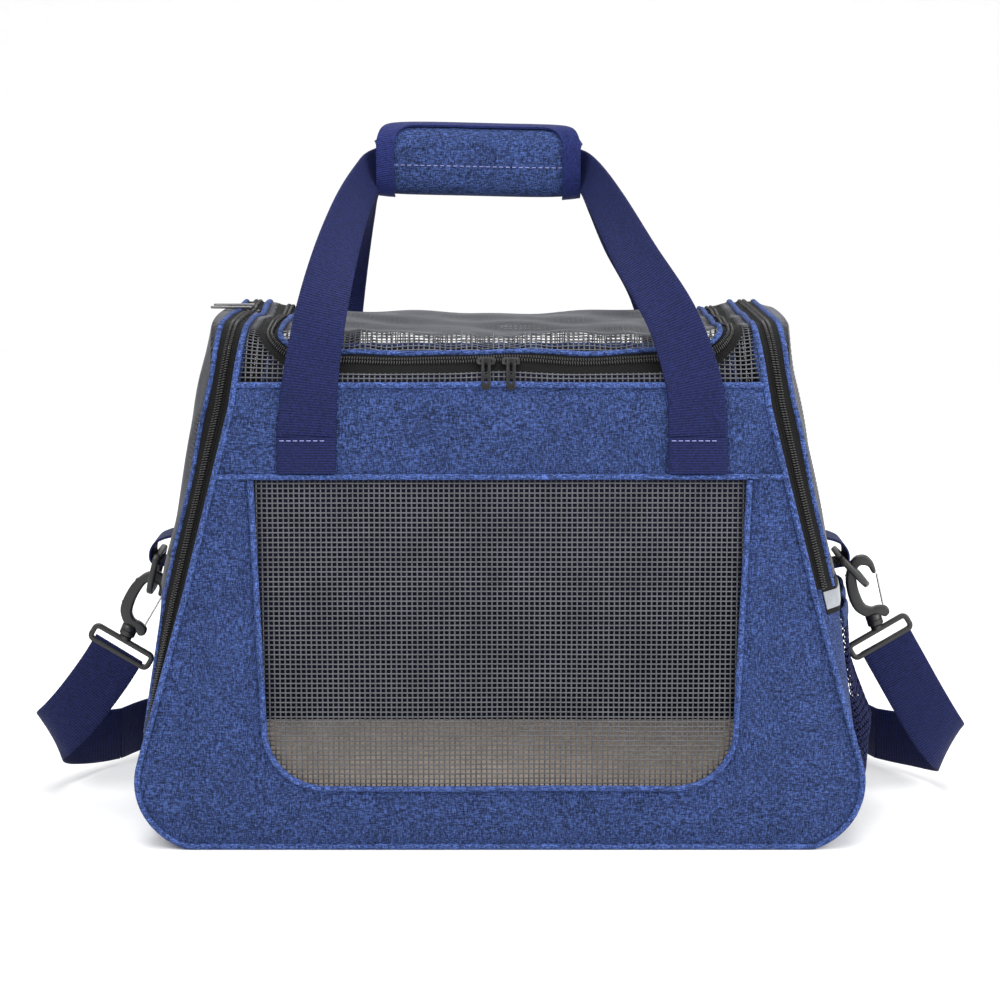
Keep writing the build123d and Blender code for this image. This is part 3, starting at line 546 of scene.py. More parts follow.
def profile(t, depth=DEPTH, radius=TOP_R):
    """Height and depth of the top's outline at a distance t back from the yoke's height."""
    start = YOKE_HIGH - (HEIGHT - radius)
    angle0 = np.arcsin(np.clip(start / radius, -1, 1))
    arc = (pi / 2 - angle0) * radius
    flat = 2 * (depth - radius)
    a = angle0 + np.clip(t, 0, arc) / radius
    b = angle0 + np.clip(2 * arc + flat - t, 0, arc) / radius
    y = np.where(
        t < arc, -(depth - radius) - radius * np.cos(a),
        np.where(t > arc + flat, depth - radius + radius * np.cos(b), t - arc - (depth - radius)),
    )
    z = HEIGHT - radius + radius * np.where(
        t < arc, np.sin(a), np.where(t > arc + flat, np.sin(b), 1.0)
    )
    return y, z


def top_z(y, radius=TOP_R, depth=DEPTH):
    over = np.maximum(np.abs(y) - (depth - radius), 0)
    return HEIGHT - radius + np.sqrt(np.maximum(radius ** 2 - over ** 2, 0))


TOP_RUN = 2 * (pi / 2 - np.arcsin((YOKE_HIGH - HEIGHT + TOP_R) / TOP_R)) * TOP_R + 2 * (DEPTH - TOP_R)


def top_place(x, t):
    y, z = profile(np.asarray(t, float))
    return np.stack([np.asarray(x, float), y, z], -1)


def wall_grid(low, high, rows, side):
    """A grid over a wall's whole width between two heights."""
    z = np.linspace(low, high, rows)[:, None]
    over = np.maximum(z - HEIGHT + TOP_R, 0)
    depth = DEPTH - TOP_R + np.sqrt(TOP_R ** 2 - over ** 2)
    x = np.linspace(-1, 1, 90) * (seam_x(z) - PIPE)
    return np.stack(np.broadcast_arrays(x, side * depth, z), -1)


def wall_cloth(name, node, grid, side, flip):
    """A canvas piece of a wall, which swells a little, and the lining behind it, near black as painted shade
    inside the bag.
    """
    swell = 0.8 * np.sin(pi * np.linspace(0, 1, len(grid)))[:, None]
    face = soften(grid) + side * swell[..., None] * (0, 1, 0)
    place_piece(slab(f"{name}_canvas", face, 2.0, CANVAS, flip=flip), "root", "blue_canvas", node)
    # The lining's near-black colour is painted shade inside the bag.
    inside = face - (0, side * LINING_BACK, 0)
    place_piece(slab(f"{name}_lining", inside, 0.4, INNER_SHADE_LINING, flip=flip), "root", "board")


def front_panel_grid(rows=22, columns=150):
    """From the window's edge out to the seams."""
    share = np.linspace(0, 1, rows)[:, None, None]
    return on_wall(window_line(columns, PIPE) * (1 - share) + body_line(columns, PIPE) * share, -1)


LINING_BACK = 2.4
YOKE_FOOT, YOKE_CREST = YOKE_LOW + PIPE, YOKE_HIGH - PIPE
PANEL_FOOT, PANEL_CREST = PIPE + 0.5, YOKE_LOW - PIPE
wall_cloth("front", "front_panel", front_panel_grid(), -1, False)
wall_cloth("front_yoke", "front_yoke", wall_grid(YOKE_FOOT, YOKE_CREST, 16, -1), -1, True)
wall_cloth("back", "back_panel", wall_grid(PANEL_FOOT, PANEL_CREST, 60, 1), 1, False)
wall_cloth("back_yoke", "back_yoke", wall_grid(YOKE_FOOT, YOKE_CREST, 16, 1), 1, False)


def window_place(x, z):
    return on_wall(np.stack(np.broadcast_arrays(x, z), -1).astype(float), -1, -1.2)


def reach_at(outline, z):
    """Half width of a symmetrical outline at one height."""
    right = outline[outline[:, 0] > 0]
    order = np.argsort(right[:, 1])
    return float(np.interp(z, right[order, 1], right[order, 0]))


def foot_at(outline, x):
    """Lowest height of an outline at one distance from its middle."""
    right = outline[outline[:, 0] >= 0]
    low = right[np.concatenate([[True], np.diff(right[:, 0]) > -9])]
    return float(np.interp(abs(x), low[:, 0], low[:, 1]))


window_outline = window_line(400, -0.5)
window_rows, window_columns = [], []
for z0 in np.arange(WINDOW_LOW, PANEL_CREST, MESH_PITCH * 0.93):
    limit = reach_at(window_outline, z0)
    window_rows.append((z0, -limit, limit))
for x0 in np.arange(-WINDOW_TOP_X, WINDOW_TOP_X, MESH_PITCH):
    window_columns.append((x0, foot_at(window_outline, x0), PANEL_CREST))
place_piece(
    threads("front_window_net", surface_of(window_place), window_rows, window_columns, MESH, step=12.0),
    "root", "grey_mesh", "front_window_mesh",
)
window_edge = soften(on_wall(window_line(220), -1, 0.9))
place_piece(
    sweep("window_cord", window_edge, PIPING, circle(PIPE), up=(0, -1, 0)), "root", "blue_canvas",
    "window_piping",
)

yoke_cords = []
for z in (YOKE_LOW, YOKE_HIGH):
    for side in (-1, 1):
        half = float(seam_x(z)) - 1
        x = np.linspace(-half, half, 90)
        above = max(z - HEIGHT + TOP_R, 0)
        depth = DEPTH - TOP_R + (TOP_R ** 2 - above ** 2) ** 0.5
        line = np.stack([x, np.full(90, side * (depth + 0.6)), np.full(90, z)], 1)
        yoke_cords.append(sweep("yoke_cord_part", soften(line), PIPING, circle(PIPE), up=(0, 0, 1)))
place_piece(join("yoke_cord", yoke_cords), "root", "blue_canvas", "yoke_piping")


# ---- the ends: a seam line (share 0) and a door line (share 1) run up and over the top ----
def strip_place(side, share, t, low):
    """A point between the seam line and the door line, at a distance t up from the height low."""
    share, t = np.broadcast_arrays(np.asarray(share, float), np.asarray(t, float))
    depth, radius = DEPTH - DOOR_IN * share, TOP_R - DOOR_R * share
    rise = HEIGHT - radius - low
    arc, flat = radius * pi / 2, 2 * (depth - radius)
    mirrored = t > rise + arc + flat / 2
    run = np.where(mirrored, 2 * (rise + arc) + flat - t, t)
    angle = np.clip((run - rise) / radius, 0, pi / 2)
    past = np.maximum(run - rise - arc, 0)
    y = -(depth - radius) - radius * np.cos(angle) + past
    z = np.where(run < rise, low + run, HEIGHT - radius + radius * np.sin(angle))
    y = np.where(mirrored, -y, y)
    door = end_profile(z, DOOR_X)
    x = seam_x(z) + share * (door - seam_x(z))
    return np.stack([side * x, y, z], -1)


def strip_run(share, low):
    depth, radius = DEPTH - DOOR_IN * share, TOP_R - DOOR_R * share
    return 2 * (HEIGHT - radius - low) + pi * radius + 2 * (depth - radius)


def strip_band(side, near, away, low, columns=5, step=7.0, proud=0.0):
    """A softened band of the strip between two shares, from one foot over to the other."""
    shares = np.linspace(near, away, columns)
    rows = int(strip_run(0.5, low) / step)
    grid = [strip_place(side, s, np.linspace(0, strip_run(s, low), rows), low) for s in shares]
    grid = soften(np.stack(grid, 1))
    if proud:
        across = np.gradient(grid, axis=1)
        out = unit(np.cross(np.gradient(grid, axis=0), across)) * side
        grid = grid - out * proud
    return grid


def teeth_along(name, line, across, out, pitch=1.7, reach=2.9, phase=0.0):
    """One row of coil loops set along a line, each a small rounded staple."""
    run = np.concatenate([[0], np.cumsum(np.linalg.norm(np.diff(line, axis=0), axis=1))])
    at = np.arange(phase * pitch, run[-1], pitch)

    def pick(values):
        return np.stack([np.interp(at, run, values[:, k]) for k in range(3)], 1)

    middle, side, up = pick(line), unit(pick(across)), unit(pick(out))
    along = unit(np.cross(side, up))
    thick = 0.52
    stations = [(0.0, 0.3), (0.25, 1.25), (0.75, 1.25), (1.0, 0.3)]
    rings = []
    for share, rise in stations:
        centre = middle + side * reach * share + up * rise
        r = thick * (0.8 if share in (0.0, 1.0) else 1.0)
        rings.append(np.stack([centre + along * r, centre + up * r, centre - along * r, centre - up * r], 1))
    points = np.stack(rings, 1)
    one = grid_faces(4, 4, wrap_cols=True)
    caps = np.array([[3, 2, 1, 0], [12, 13, 14, 15]])
    one = np.concatenate([one, caps])
    faces = (one[None] + (np.arange(len(at)) * 16)[:, None, None]).reshape(-1, 4)
    return make(name, points.reshape(-1, 3), faces, COIL, sharp=None)


NET_BEND = 5.0


def end_x(y, z):
    """Half length of the bag over an end: least at the door's edges, most in the middle."""
    share = np.clip(np.abs(y) / DOOR_DEPTH, 0, 1)
    door, middle = end_profile(z, DOOR_X), end_profile(z, MIDDLE_X)
    return door + (middle - door) * np.cos(share * pi / 2) ** 0.8


def corner_x(y, z):
    """The end's surface with its narrow facets, out to the seams."""
    beyond = np.clip((np.abs(y) - DOOR_DEPTH) / DOOR_IN, 0, 1)
    return end_x(y, z) + beyond * (seam_x(z) - end_profile(z, DOOR_X))


def end_surface(side):
    """The end's net as a surface of depth and height, rounding over onto the top."""
    def place(y, h):
        y, h = np.broadcast_arrays(np.asarray(y, float), np.asarray(h, float))
        crest = top_z(y, DOOR_TOP_R, DOOR_DEPTH) - NET_BEND
        z = np.minimum(h, crest)
        over = np.maximum(h - crest, 0)
        angle = np.clip(over / NET_BEND, 0, pi / 2)
        x = end_x(y, z) - NET_BEND * (1 - np.cos(angle)) - np.maximum(over - NET_BEND * pi / 2, 0)
        z = z + NET_BEND * np.sin(angle)
        return np.stack([side * x, y, z], -1)
    return place


def end_net(name, side, low, high):
    """Threads of one end between two heights; high None runs over onto the top."""
    place = end_surface(side)
    half = DOOR_DEPTH - 0.3
    rows, columns = [], []
    for y in np.arange(-half, half + 0.1, MESH_PITCH):
        crest = float(top_z(y, DOOR_TOP_R, DOOR_DEPTH))
        middle = float(end_profile(crest - 5, MIDDLE_X) - end_profile(crest - 5, DOOR_X))
        over = middle * cos(abs(y) / DOOR_DEPTH * pi / 2) ** 0.8
        columns.append((y, low, high if high else crest + 2.0 + max(over - 3.0, 0)))
    top = high or HEIGHT - 3.0
    for z in np.arange(low + 0.8, top, MESH_PITCH * 0.93):
        over = max(z + NET_BEND - (HEIGHT - DOOR_TOP_R), 0)
        rounding = max(DOOR_TOP_R ** 2 - over ** 2, 0) ** 0.5
        limit = min(half, DOOR_DEPTH - DOOR_TOP_R + rounding)
        rows.append((z, -limit, limit))
    return threads(name, surface_of(place), rows, columns, MESH, step=8.0)


# Shares of the way from the seam line to the door line: the zip's outer tape begins, its
# stitching runs, its two rows of coils meet, and its inner tape ends.
OUTER_EDGE, TAPE_SEAM, SPLIT, INNER_EDGE = 0.10, 0.28, 0.46, 0.86
ZIP_GAP = 0.02


def facing_out(normals, line, side):
    """Unit normals along a line round one end, turned so that they point out of the bag."""
    out = unit(normals)
    away = out * (side * 0.6, 0, 0.4) + out * line * (0, 0.004, 0)
    return out * np.sign(np.sum(away, 1, keepdims=True))


def end_pieces(name, side, zip_low, mesh_low):
    flip = side > 0
    outer_band = strip_band(side, OUTER_EDGE, SPLIT - ZIP_GAP, zip_low)
    fixed_parts = [slab(f"{name}_outer_tape", outer_band, TAPE_THICK, TAPE, flip=flip)]
    middle = strip_band(side, SPLIT, SPLIT + 0.001, zip_low, 2, 4.0)
    line = middle[:, 0]
    tangent = np.gradient(line, axis=0)
    seam_line = strip_band(side, 0.2, 0.201, zip_low, 2, 4.0)[:, 0]
    across = unit(seam_line - line)
    out = facing_out(np.cross(tangent, across), line, side)
    fixed_parts.append(teeth_along(f"{name}_outer_coil", line, across, out))
    seam_run = np.linspace(0, strip_run(TAPE_SEAM, zip_low), 160)
    row = soften(strip_place(side, TAPE_SEAM, seam_run, zip_low))
    fixed_parts.append(sweep("tape_seam", row, TAPE, circle(0.5, 6), up=(side, 0.01, 0.3)))
    low_parts = []
    hinge_run = HINGE_Z - zip_low
    # Below the door's hinge both halves of the zip are fixed.
    for turn in (1, -1):
        t = np.linspace(0, hinge_run, 22)
        shares = np.linspace(SPLIT + ZIP_GAP, INNER_EDGE, 4)
        grid = np.stack([strip_place(side, s, t, zip_low) for s in shares], 1)
        low_parts.append(
            slab("low_tape", soften(grid) * (1, turn, 1), TAPE_THICK, TAPE, flip=flip ^ (turn < 0))
        )
        t = np.linspace(0, hinge_run, 40)
        row = soften(strip_place(side, SPLIT, t, zip_low)) * (1, turn, 1)
        far = soften(strip_place(side, 0.9, t, zip_low)) * (1, turn, 1)
        side_way = unit(far - row)
        low_out = unit(np.cross(np.gradient(row, axis=0), side_way))
        low_out *= np.sign(low_out[:, :1] * side)
        low_parts.append(teeth_along("low_coil", row, side_way, low_out, phase=0.5))
        edge = soften(strip_place(side, INNER_EDGE + 0.05, t, zip_low)) * (1, turn, 1)
        low_parts.append(sweep("low_cord", edge, PIPING, circle(1.5, 8), up=(side, 0, 0)))
    place_piece(
        join(f"{name}_fixed_zip", fixed_parts + low_parts), "root", "zip_black", f"{name}_zip_tape"
    )

    door_low = HINGE_Z + 0.4
    door_band = strip_band(side, SPLIT + ZIP_GAP, INNER_EDGE, door_low, 4)
    door_parts = [slab(f"{name}_inner_tape", door_band, TAPE_THICK, TAPE, flip=flip)]
    middle = strip_band(side, SPLIT, SPLIT + 0.001, door_low, 2, 4.0)[:, 0]
    far = strip_band(side, 0.9, 0.901, door_low, 2, 4.0)[:, 0]
    across = unit(far - middle)
    out = facing_out(np.cross(np.gradient(middle, axis=0), across), middle, side)
    door_parts.append(teeth_along(f"{name}_inner_coil", middle, across, out, phase=0.5))
    place_piece(
        join(f"{name}_door_zip", door_parts), f"{name}_door", "zip_black", f"{name}_door_tape"
    )
    edge = strip_band(side, INNER_EDGE + 0.06, INNER_EDGE + 0.07, door_low, 2, 4.0)[:, 0]
    cord = sweep(f"{name}_door_cord", edge, PIPING, circle(1.9), up=(side, 0.01, 0.2))
    place_piece(cord, f"{name}_door", "blue_canvas", f"{name}_door_piping")
    place_piece(
        end_net(f"{name}_door_net", side, door_low, None), f"{name}_door", "grey_mesh",
        f"{name}_door_mesh",
    )
    place_piece(
        end_net(f"{name}_skirt_net", side, mesh_low, HINGE_Z - 0.4), "root", "grey_mesh",
        f"{name}_skirt_mesh",
    )
    lower_panel(name, side, zip_low, mesh_low, flip)


def lower_panel(name, side, zip_low, mesh_low, flip):
    """The canvas below the net: full width under the zip's feet, narrower between them."""
    z = np.concatenate([np.linspace(0.5, 45, 14), np.linspace(50, mesh_low, 24)])
    grid = []
    for height in z:
        half = DEPTH - 3.0 if height < zip_low else DOOR_DEPTH + 0.6
        y = np.linspace(-1, 1, 40) * half
        grid.append(np.stack([side * corner_x(y, height), y, np.full(40, height)], 1))
    face = soften(np.array(grid))
    panel = slab(f"{name}_lower_canvas", face, 2.0, CANVAS, flip=flip)
    place_piece(panel, "root", "blue_canvas", f"{name}_lower_panel")
    # The end's lining, near black: painted shade inside the bag.
    inside = face - (side * LINING_BACK, 0, 0)
    inside[..., 2] = np.maximum(inside[..., 2], MAT_LOW)
    place_piece(slab(f"{name}_end_lining", inside, 0.4, INNER_SHADE_LINING, flip=flip), "root", "board")


end_pieces("left", -1, LEFT_ZIP_Z, LEFT_MESH_Z)
end_pieces("right", 1, RIGHT_ZIP_Z, RIGHT_MESH_Z)

# the cord in the long seams: round each wall's outline and over the top
seam_parts = []
for side in (-1, 1):
    low_line = soften(on_wall(body_line(240, 0.0, top=HEIGHT - TOP_R), side, 0.6))
    low_line[:, 2] = np.maximum(low_line[:, 2], PIPE)
    seam_parts.append(sweep("seam_low", low_line, PIPING, circle(PIPE), up=(0, side, 0)))
for side in (-1, 1):
    low = HEIGHT - TOP_R
    run = strip_run(0.0, low)
    arch = soften(strip_place(side, 0.0, np.linspace(0, run, 120), low))
    arch[:, 2] += 0.5
    seam_parts.append(sweep("seam_arch", arch, PIPING, circle(PIPE), up=(side, 0.01, 0.1)))
place_piece(join("seam_cord", seam_parts), "root", "blue_canvas", "seam_piping")


# ---- the top: border net, flap net, and the zip between them ----
def flap_size(grow):
    """Half width, reach to the front and corner radius of the flap's outline, moved out by grow."""
    return SPLIT_X + grow, SPLIT_FRONT + grow * 0.75, SPLIT_R + grow


def flap_line(grow, count=150):
    """The flap's outline from its rear left corner round the front to its rear right, X and Y."""
    half, front, radius = flap_size(grow)
    left = np.stack([np.full(20, -half), np.linspace(FLAP_REAR - 0.5, -front + radius, 20)], 1)
    turn = np.linspace(pi, 1.5 * pi, 16)
    corner = np.stack([-half + radius + radius * np.cos(turn), -front + radius + radius * np.sin(turn)], 1)
    edge = np.stack([np.linspace(-half + radius, 0, 20), np.full(20, -front)], 1)
    line = np.concatenate([left, corner[1:], edge[1:]])
    line = np.concatenate([line, (line * (-1, 1))[::-1][1:]])
    return resample(line, count)


def on_top(plan, lift=0.0):
    z = top_z(plan[..., 1]) + lift
    return soften(np.stack([plan[..., 0], plan[..., 1], z], -1))


def half_width_at(y, grow):
    """Half width of the flap's outline at one depth, or 0 in front of it or behind it."""
    half, front, radius = flap_size(grow)
    if y < -front or y > FLAP_REAR:
        return 0.0
    into = max(-front + radius - y, 0)
    return half - radius + (radius ** 2 - into ** 2) ** 0.5


def t_of(y):
    """The distance over the top at which the outline reaches a depth."""
    return float(np.interp(y, TABLE_Y, TABLE_T))


TABLE_T = np.linspace(0, TOP_RUN, 600)
TABLE_Y = profile(TABLE_T)[0]
OUTER, INNER = 8.0, -7.5
border_rows, border_columns, flap_rows, flap_columns = [], [], [], []
for t in np.arange(1.5, TOP_RUN - 1, MESH_PITCH * 0.93):
    y, z = (float(v) for v in profile(np.array(t)))
    limit = float(seam_x(z)) - 2
    gap, flap = half_width_at(y, OUTER), half_width_at(y, INNER)
    if gap:
        border_rows += [(t, -limit, -gap), (t, gap, limit)]
    else:
        border_rows.append((t, -limit, limit))
    if flap:
        flap_rows.append((t, -flap, flap))
NET_HALF, NET_MARGIN = 163, 1.5
for x in np.arange(-NET_HALF, NET_HALF + 1, MESH_PITCH):
    for grow, nets in ((OUTER, border_columns), (INNER, flap_columns)):
        half, front, radius = flap_size(grow)
        if abs(x) >= half:
            if nets is border_columns:
                nets.append((x, NET_MARGIN, TOP_RUN - NET_MARGIN))
            continue
        into = max(abs(x) - (half - radius), 0)
        meets = t_of(-(front - radius) - (radius ** 2 - into ** 2) ** 0.5)
        if nets is border_columns:
            nets += [(x, NET_MARGIN, meets), (x, t_of(FLAP_REAR + 0.5), TOP_RUN - NET_MARGIN)]
        else:
            nets.append((x, meets, t_of(FLAP_REAR - 0.5)))


def flap_place(x, t):
    """The flap's net, which is gathered a little along its front edge."""
    p = top_place(x, t)
    y = p[..., 1]
    gathers = smooth(-y, 40, 104) * (1 - smooth(-y, 102, 110))
    p[..., 2] += gathers * 1.1 * np.sin(x / 4.3 + 2.0 * np.sin(x / 17.0) + y / 21.0)
    return p


place_piece(
    threads("top_border_net", surface_of(top_place), border_rows, border_columns, MESH, step=7.0),
    "root", "grey_mesh", "top_border_mesh",
)
place_piece(
    threads("top_flap_net", surface_of(flap_place), flap_rows, flap_columns, MESH, step=7.0),
    "top_flap", "grey_mesh", "top_flap_mesh",
)


def flap_tape(name, near, away):
    grid = np.stack([on_top(flap_line(g)) for g in np.linspace(near, away, 5)], 1)
    return slab(name, grid, TAPE_THICK, TAPE, flip=near < away)


def flap_coil(name, sign, phase):
    line = on_top(flap_line(0.0, 260), 0.2)
    away = on_top(flap_line(sign * 4.0, 260), 0.2)
    across = unit(away - line)
    out = unit(np.cross(np.gradient(line, axis=0), across))
    out *= np.sign(out[:, 2:3])
    return teeth_along(name, line, across, out, phase=phase)


place_piece(
    join("top_fixed_zip", [flap_tape("outer", 0.3, OUTER + 0.5), flap_coil("outer_coil", 1, 0.0)]),
    "root", "zip_black", "top_zip_tape",
)
place_piece(
    join("top_flap_zip", [flap_tape("inner", -0.3, INNER + 1.5), flap_coil("inner_coil", -1, 0.5)]),
    "top_flap", "zip_black", "top_flap_tape",
)
flap_edge = on_top(flap_line(INNER + 0.8, 220), 0.9)
place_piece(
    sweep("top_flap_cord", flap_edge, PIPING, circle(1.8), up=(0, 0, 1)), "top_flap",
    "blue_canvas", "top_flap_piping",
)


# ---- base, board and mat ----
def tray_outline(z, inset, count=96):
    """A rounded rectangle that fits inside the bag at one height."""
    half = float(end_profile(z, DOOR_X)) - inset
    depth, radius = DEPTH - inset, 26.0
    turn = np.linspace(0, 2 * pi, count, endpoint=False)
    cx, cy = np.cos(turn), np.sin(turn)
    corner = np.stack([np.sign(cx) * (half - radius), np.sign(cy) * (depth - radius)], 1)
    ring = corner + radius * np.stack([cx, cy], 1)
    spread = resample(np.concatenate([ring, ring[:1]]), count + 1)[:-1]
    return np.concatenate([spread, np.full((count, 1), z)], 1)


mat_levels = (
    (MAT_LOW, 90.0), (MAT_LOW, 9.0), (9.0, 6.0), (13.0, 4.8), (19.0, 4.8), (23.5, 6.0),
    (25.6, 9.0), (26.6, 15.0), (27.0, 26.0), (27.3, 45.0), (27.4, 70.0), (27.4, 100.0),
)
mat_rings = np.array([tray_outline(z, inset) for z, inset in mat_levels])
mat_rings[7:, :, 2] += 0.35 * waves(mat_rings[7:].reshape(-1, 3), 70, 21).reshape(5, -1)
mat = tube("bed_pad", mat_rings, TAUPE)
place_piece(mat, "root", "mat_taupe", "bed_mat")

floor_y = np.linspace(-DEPTH + 4, DEPTH - 4, 20)
floor_x = np.linspace(-CORNER_X, CORNER_X, 40)
base_grid = np.stack([*np.meshgrid(floor_x, floor_y, indexing="ij"), np.full((40, 20), 2.4)], -1)
place_piece(slab("base_canvas", base_grid, 2.0, CANVAS), "root", "blue_canvas", "base_panel")


# ---- right end: pocket, its binding and the reflective strip ----
POCKET_Z = (16.0, 40.0, 70.0, 94.0, 112.0, 146.0)
POCKET_OUT = (2.5, 12.0, 20.0, 11.0, 6.0, 7.0)
POCKET_Y, BINDING_HIGH = 97.0, 156.0


def pocket_place(y, z):
    y, z = np.broadcast_arrays(np.asarray(y, float), np.asarray(z, float))
    out = np.interp(z, POCKET_Z, POCKET_OUT)
    shape = np.cos(np.clip(np.abs(y) / POCKET_Y, 0, 1) * pi / 2) ** 0.55
    fold = 0.8 * np.sin(y / 6.0 + 1.5 * np.sin(z / 25.0)) * shape
    return np.stack([end_x(y, z) + 1.0 + out * shape + fold, y, z], -1)


def pocket_net():
    """Stretch net: zigzag threads that cross in diamonds."""
    place, lines = surface_of(pocket_place), []
    pitch, amplitude = 6.0, 3.2
    for turn in (1, -1):
        for k in range(int(150 / 5.2)):
            z0 = 14 + k * 4.6
            y = np.arange(-POCKET_Y, POCKET_Y + 0.1, pitch / 2)
            z = z0 + turn * amplitude * np.where(np.arange(len(y)) % 2, 1, -1) * 0.5 + amplitude / 2
            lines.append((y, np.clip(z, 14, 147), turn))
    points, faces, start = [], [], 0
    for y, z, turn in lines:
        middle, normal = place(y, z)
        tangent = unit(np.gradient(middle, axis=0))
        side, out = np.cross(tangent, normal) * 0.55, normal * 0.4
        middle = middle + normal * 0.25 * turn
        ring = np.stack([middle + side, middle + out, middle - side, middle - out], 1)
        points.append(ring.reshape(-1, 3))
        faces.append(grid_faces(len(y), 4, wrap_cols=True) + start)
        start += 4 * len(y)
    return make("pocket_net", np.concatenate(points), np.concatenate(faces), NET, sharp=None)


place_piece(pocket_net(), "root", "pocket_net", "pocket_mesh")
# The hem's rows: where the pocket's form is taken, how far the hem stands off it, its height.
HEM_ROWS = (
    (143.0, 0.6, 143.0), (146.0, 1.2, 147.0), (150.0, 1.4, 151.0), (154.0, 1.2, 154.5),
    (BINDING_HIGH, 0.4, BINDING_HIGH),
)
y_line = np.linspace(-POCKET_Y, POCKET_Y, 60)
binding_grid = np.stack([pocket_place(y_line, np.full(60, z)) + (off, 0, 0) for z, off, _ in HEM_ROWS])
binding_grid[..., 2] = np.array([height for _, _, height in HEM_ROWS])[:, None]
place_piece(
    slab("pocket_hem", soften(binding_grid), 1.5, CANVAS, flip=True), "root", "blue_canvas",
    "pocket_binding",
)


def end_band(name, low, high, lift, finish, reach=119.0):
    y = np.linspace(-reach, reach, 90)
    rows = [np.stack([corner_x(y, np.full(90, z)) + lift, y, np.full(90, z)], 1)
            for z in np.linspace(low, high, 5)]
    return slab(name, soften(np.array(rows)), 0.6, finish, flip=True)


strip = join("reflective_band", [
    end_band("band_edge", 157.0, 178.0, 0.7, TAPE), end_band("band_face", 160.5, 172.0, 1.3, SILVER),
])
place_piece(strip, "root", "reflective", "reflective_strip")


# ---- webbing: handles, tails, tabs and strap ----
def webbing(name, stations, count=90, cup=0.0):
    """Flat webbing through stations of centre, width direction and width."""
    centres = curve_through([s[0] for s in stations], count)
    across = unit(curve_through([s[1] for s in stations], count))
    widths = curve_through([[s[2]] for s in stations], count)[:, 0]
    tangent = unit(np.gradient(centres, axis=0))
    side = unit(across - tangent * np.sum(across * tangent, 1, keepdims=True))
    out = np.cross(tangent, side)
    base = flat_section(WEB, WEB_THICK)
    points = []
    for k in range(count):
        share = base[:, 0] * widths[k] / WEB
        bow = cup * (1 - (2 * share / widths[k]) ** 2)
        points.append(centres[k] + side[k] * share[:, None] + out[k] * (base[:, 1] + bow)[:, None])
    along = lengths_along(centres[:, None], 0)
    return tube(name, np.array(points), WEBBING, False, along, base[:, 0], sharp=60)


def stitches(name, start, end, out, long=2.6, gap=1.7):
    """A row of sewn dashes from one point to another."""
    start, end = np.array(start, float), np.array(end, float)
    total = np.linalg.norm(end - start)
    step = (end - start) / total
    out = np.array(out, float)
    parts = []
    for k in range(int(total / (long + gap))):
        at = start + step * k * (long + gap)
        hump = np.array([0.0, 0.45, 0.45, 0.0])[:, None] * out
        path = at + step * np.array([0, 0.25, 0.75, 1.0])[:, None] * long + hump
        parts.append(sweep("dash", path, STITCH, circle(0.36, 6), up=out))
    return join(name, parts)


HANDLE_Y, GRIP_Z, GRIP_X0, GRIP_X1 = 127.4, 446.0, -83.0, 54.0
FOLDED = 20.0
LEFT_LEG = (
    ((-124, -HANDLE_Y, 274), (1, 0, 0), WEB), ((-123, -HANDLE_Y, 290), (1, 0, 0), WEB),
    ((-121, -HANDLE_Y + 1, 312), (1, 0, 0), WEB), ((-115, -118, 350), (1, 0, -0.05), WEB),
    ((-107, -94, 386), (0.96, 0, -0.28), WEB - 1), ((-98, -60, 416), (0.80, 0, -0.58), WEB - 6),
    ((-90, -26, 434), (0.5, 0, -0.86), WEB - 11), ((-82, -9, 443), (0.1, 0, -1), FOLDED),
)
GRIP_RUN = (((-60, -5, GRIP_Z), (0, 0, -1), FOLDED), ((30, -5, GRIP_Z), (0, 0, -1), FOLDED))
RIGHT_LEG = (
    ((51, -8, 443), (-0.1, 0, -1), FOLDED), ((61, -24, 435), (-0.40, 0, -0.92), WEB - 11),
    ((72, -56, 417), (-0.75, 0, -0.66), WEB - 6), ((88, -92, 387), (-0.95, 0, -0.31), WEB - 1),
    ((110, -118, 350), (-1, 0, -0.05), WEB), ((123, -HANDLE_Y + 1, 312), (-1, 0, 0), WEB),
    ((126, -HANDLE_Y, 290), (-1, 0, 0), WEB), ((127, -HANDLE_Y, 274), (-1, 0, 0), WEB),
)
front_stations = LEFT_LEG + GRIP_RUN + RIGHT_LEG
rear_stations = [((x, -y, z), across, width) for (x, y, z), across, width in front_stations]
for name, stations in (("front_handle", front_stations), ("rear_handle", rear_stations)):
    strap = webbing(name, stations, count=150, cup=0.8)
    place_piece(strap, name, "navy_webbing", f"{name}_web")
tails = []
for x in (-124, 127):
    for side in (-1, 1):
        low, high = YOKE_LOW + PIPE + 0.5, 274.5
        stations = [((x, side * (DEPTH + 3.0), z), (1, 0, 0), WEB) for z in np.linspace(low, high, 4)]
        tails.append(webbing("tail", stations, count=16))
        tails.append(stitches("tail_seam", (x - 17, side * (DEPTH + 4.0), 272.5),
                              (x + 17, side * (DEPTH + 4.0), 272.5), (0, side, 0)))
place_piece(join("handle_feet", tails), "root", "navy_webbing", "handle_tails")


# ---- the padded wrap ----
WRAP_Y, WRAP_Z, WRAP_POWER = 21.0, 23.5, 0.62
WRAP_TOP, WRAP_FOOT, WRAP_ROUND, BOUND = 1.5, 88.0, 26.0, 12.0
wrap_turn = np.linspace(pi / 2, -pi / 2, 400)
WRAP_OUT = 0.3 + WRAP_Y * np.abs(np.cos(wrap_turn)) ** WRAP_POWER
WRAP_UP = WRAP_Z * np.sign(np.sin(wrap_turn)) * np.abs(np.sin(wrap_turn)) ** WRAP_POWER
WRAP_RUN = np.concatenate([[0], np.cumsum(np.hypot(np.diff(WRAP_OUT), np.diff(WRAP_UP)))])
WRAP_HALF = (GRIP_X1 - GRIP_X0) / 2


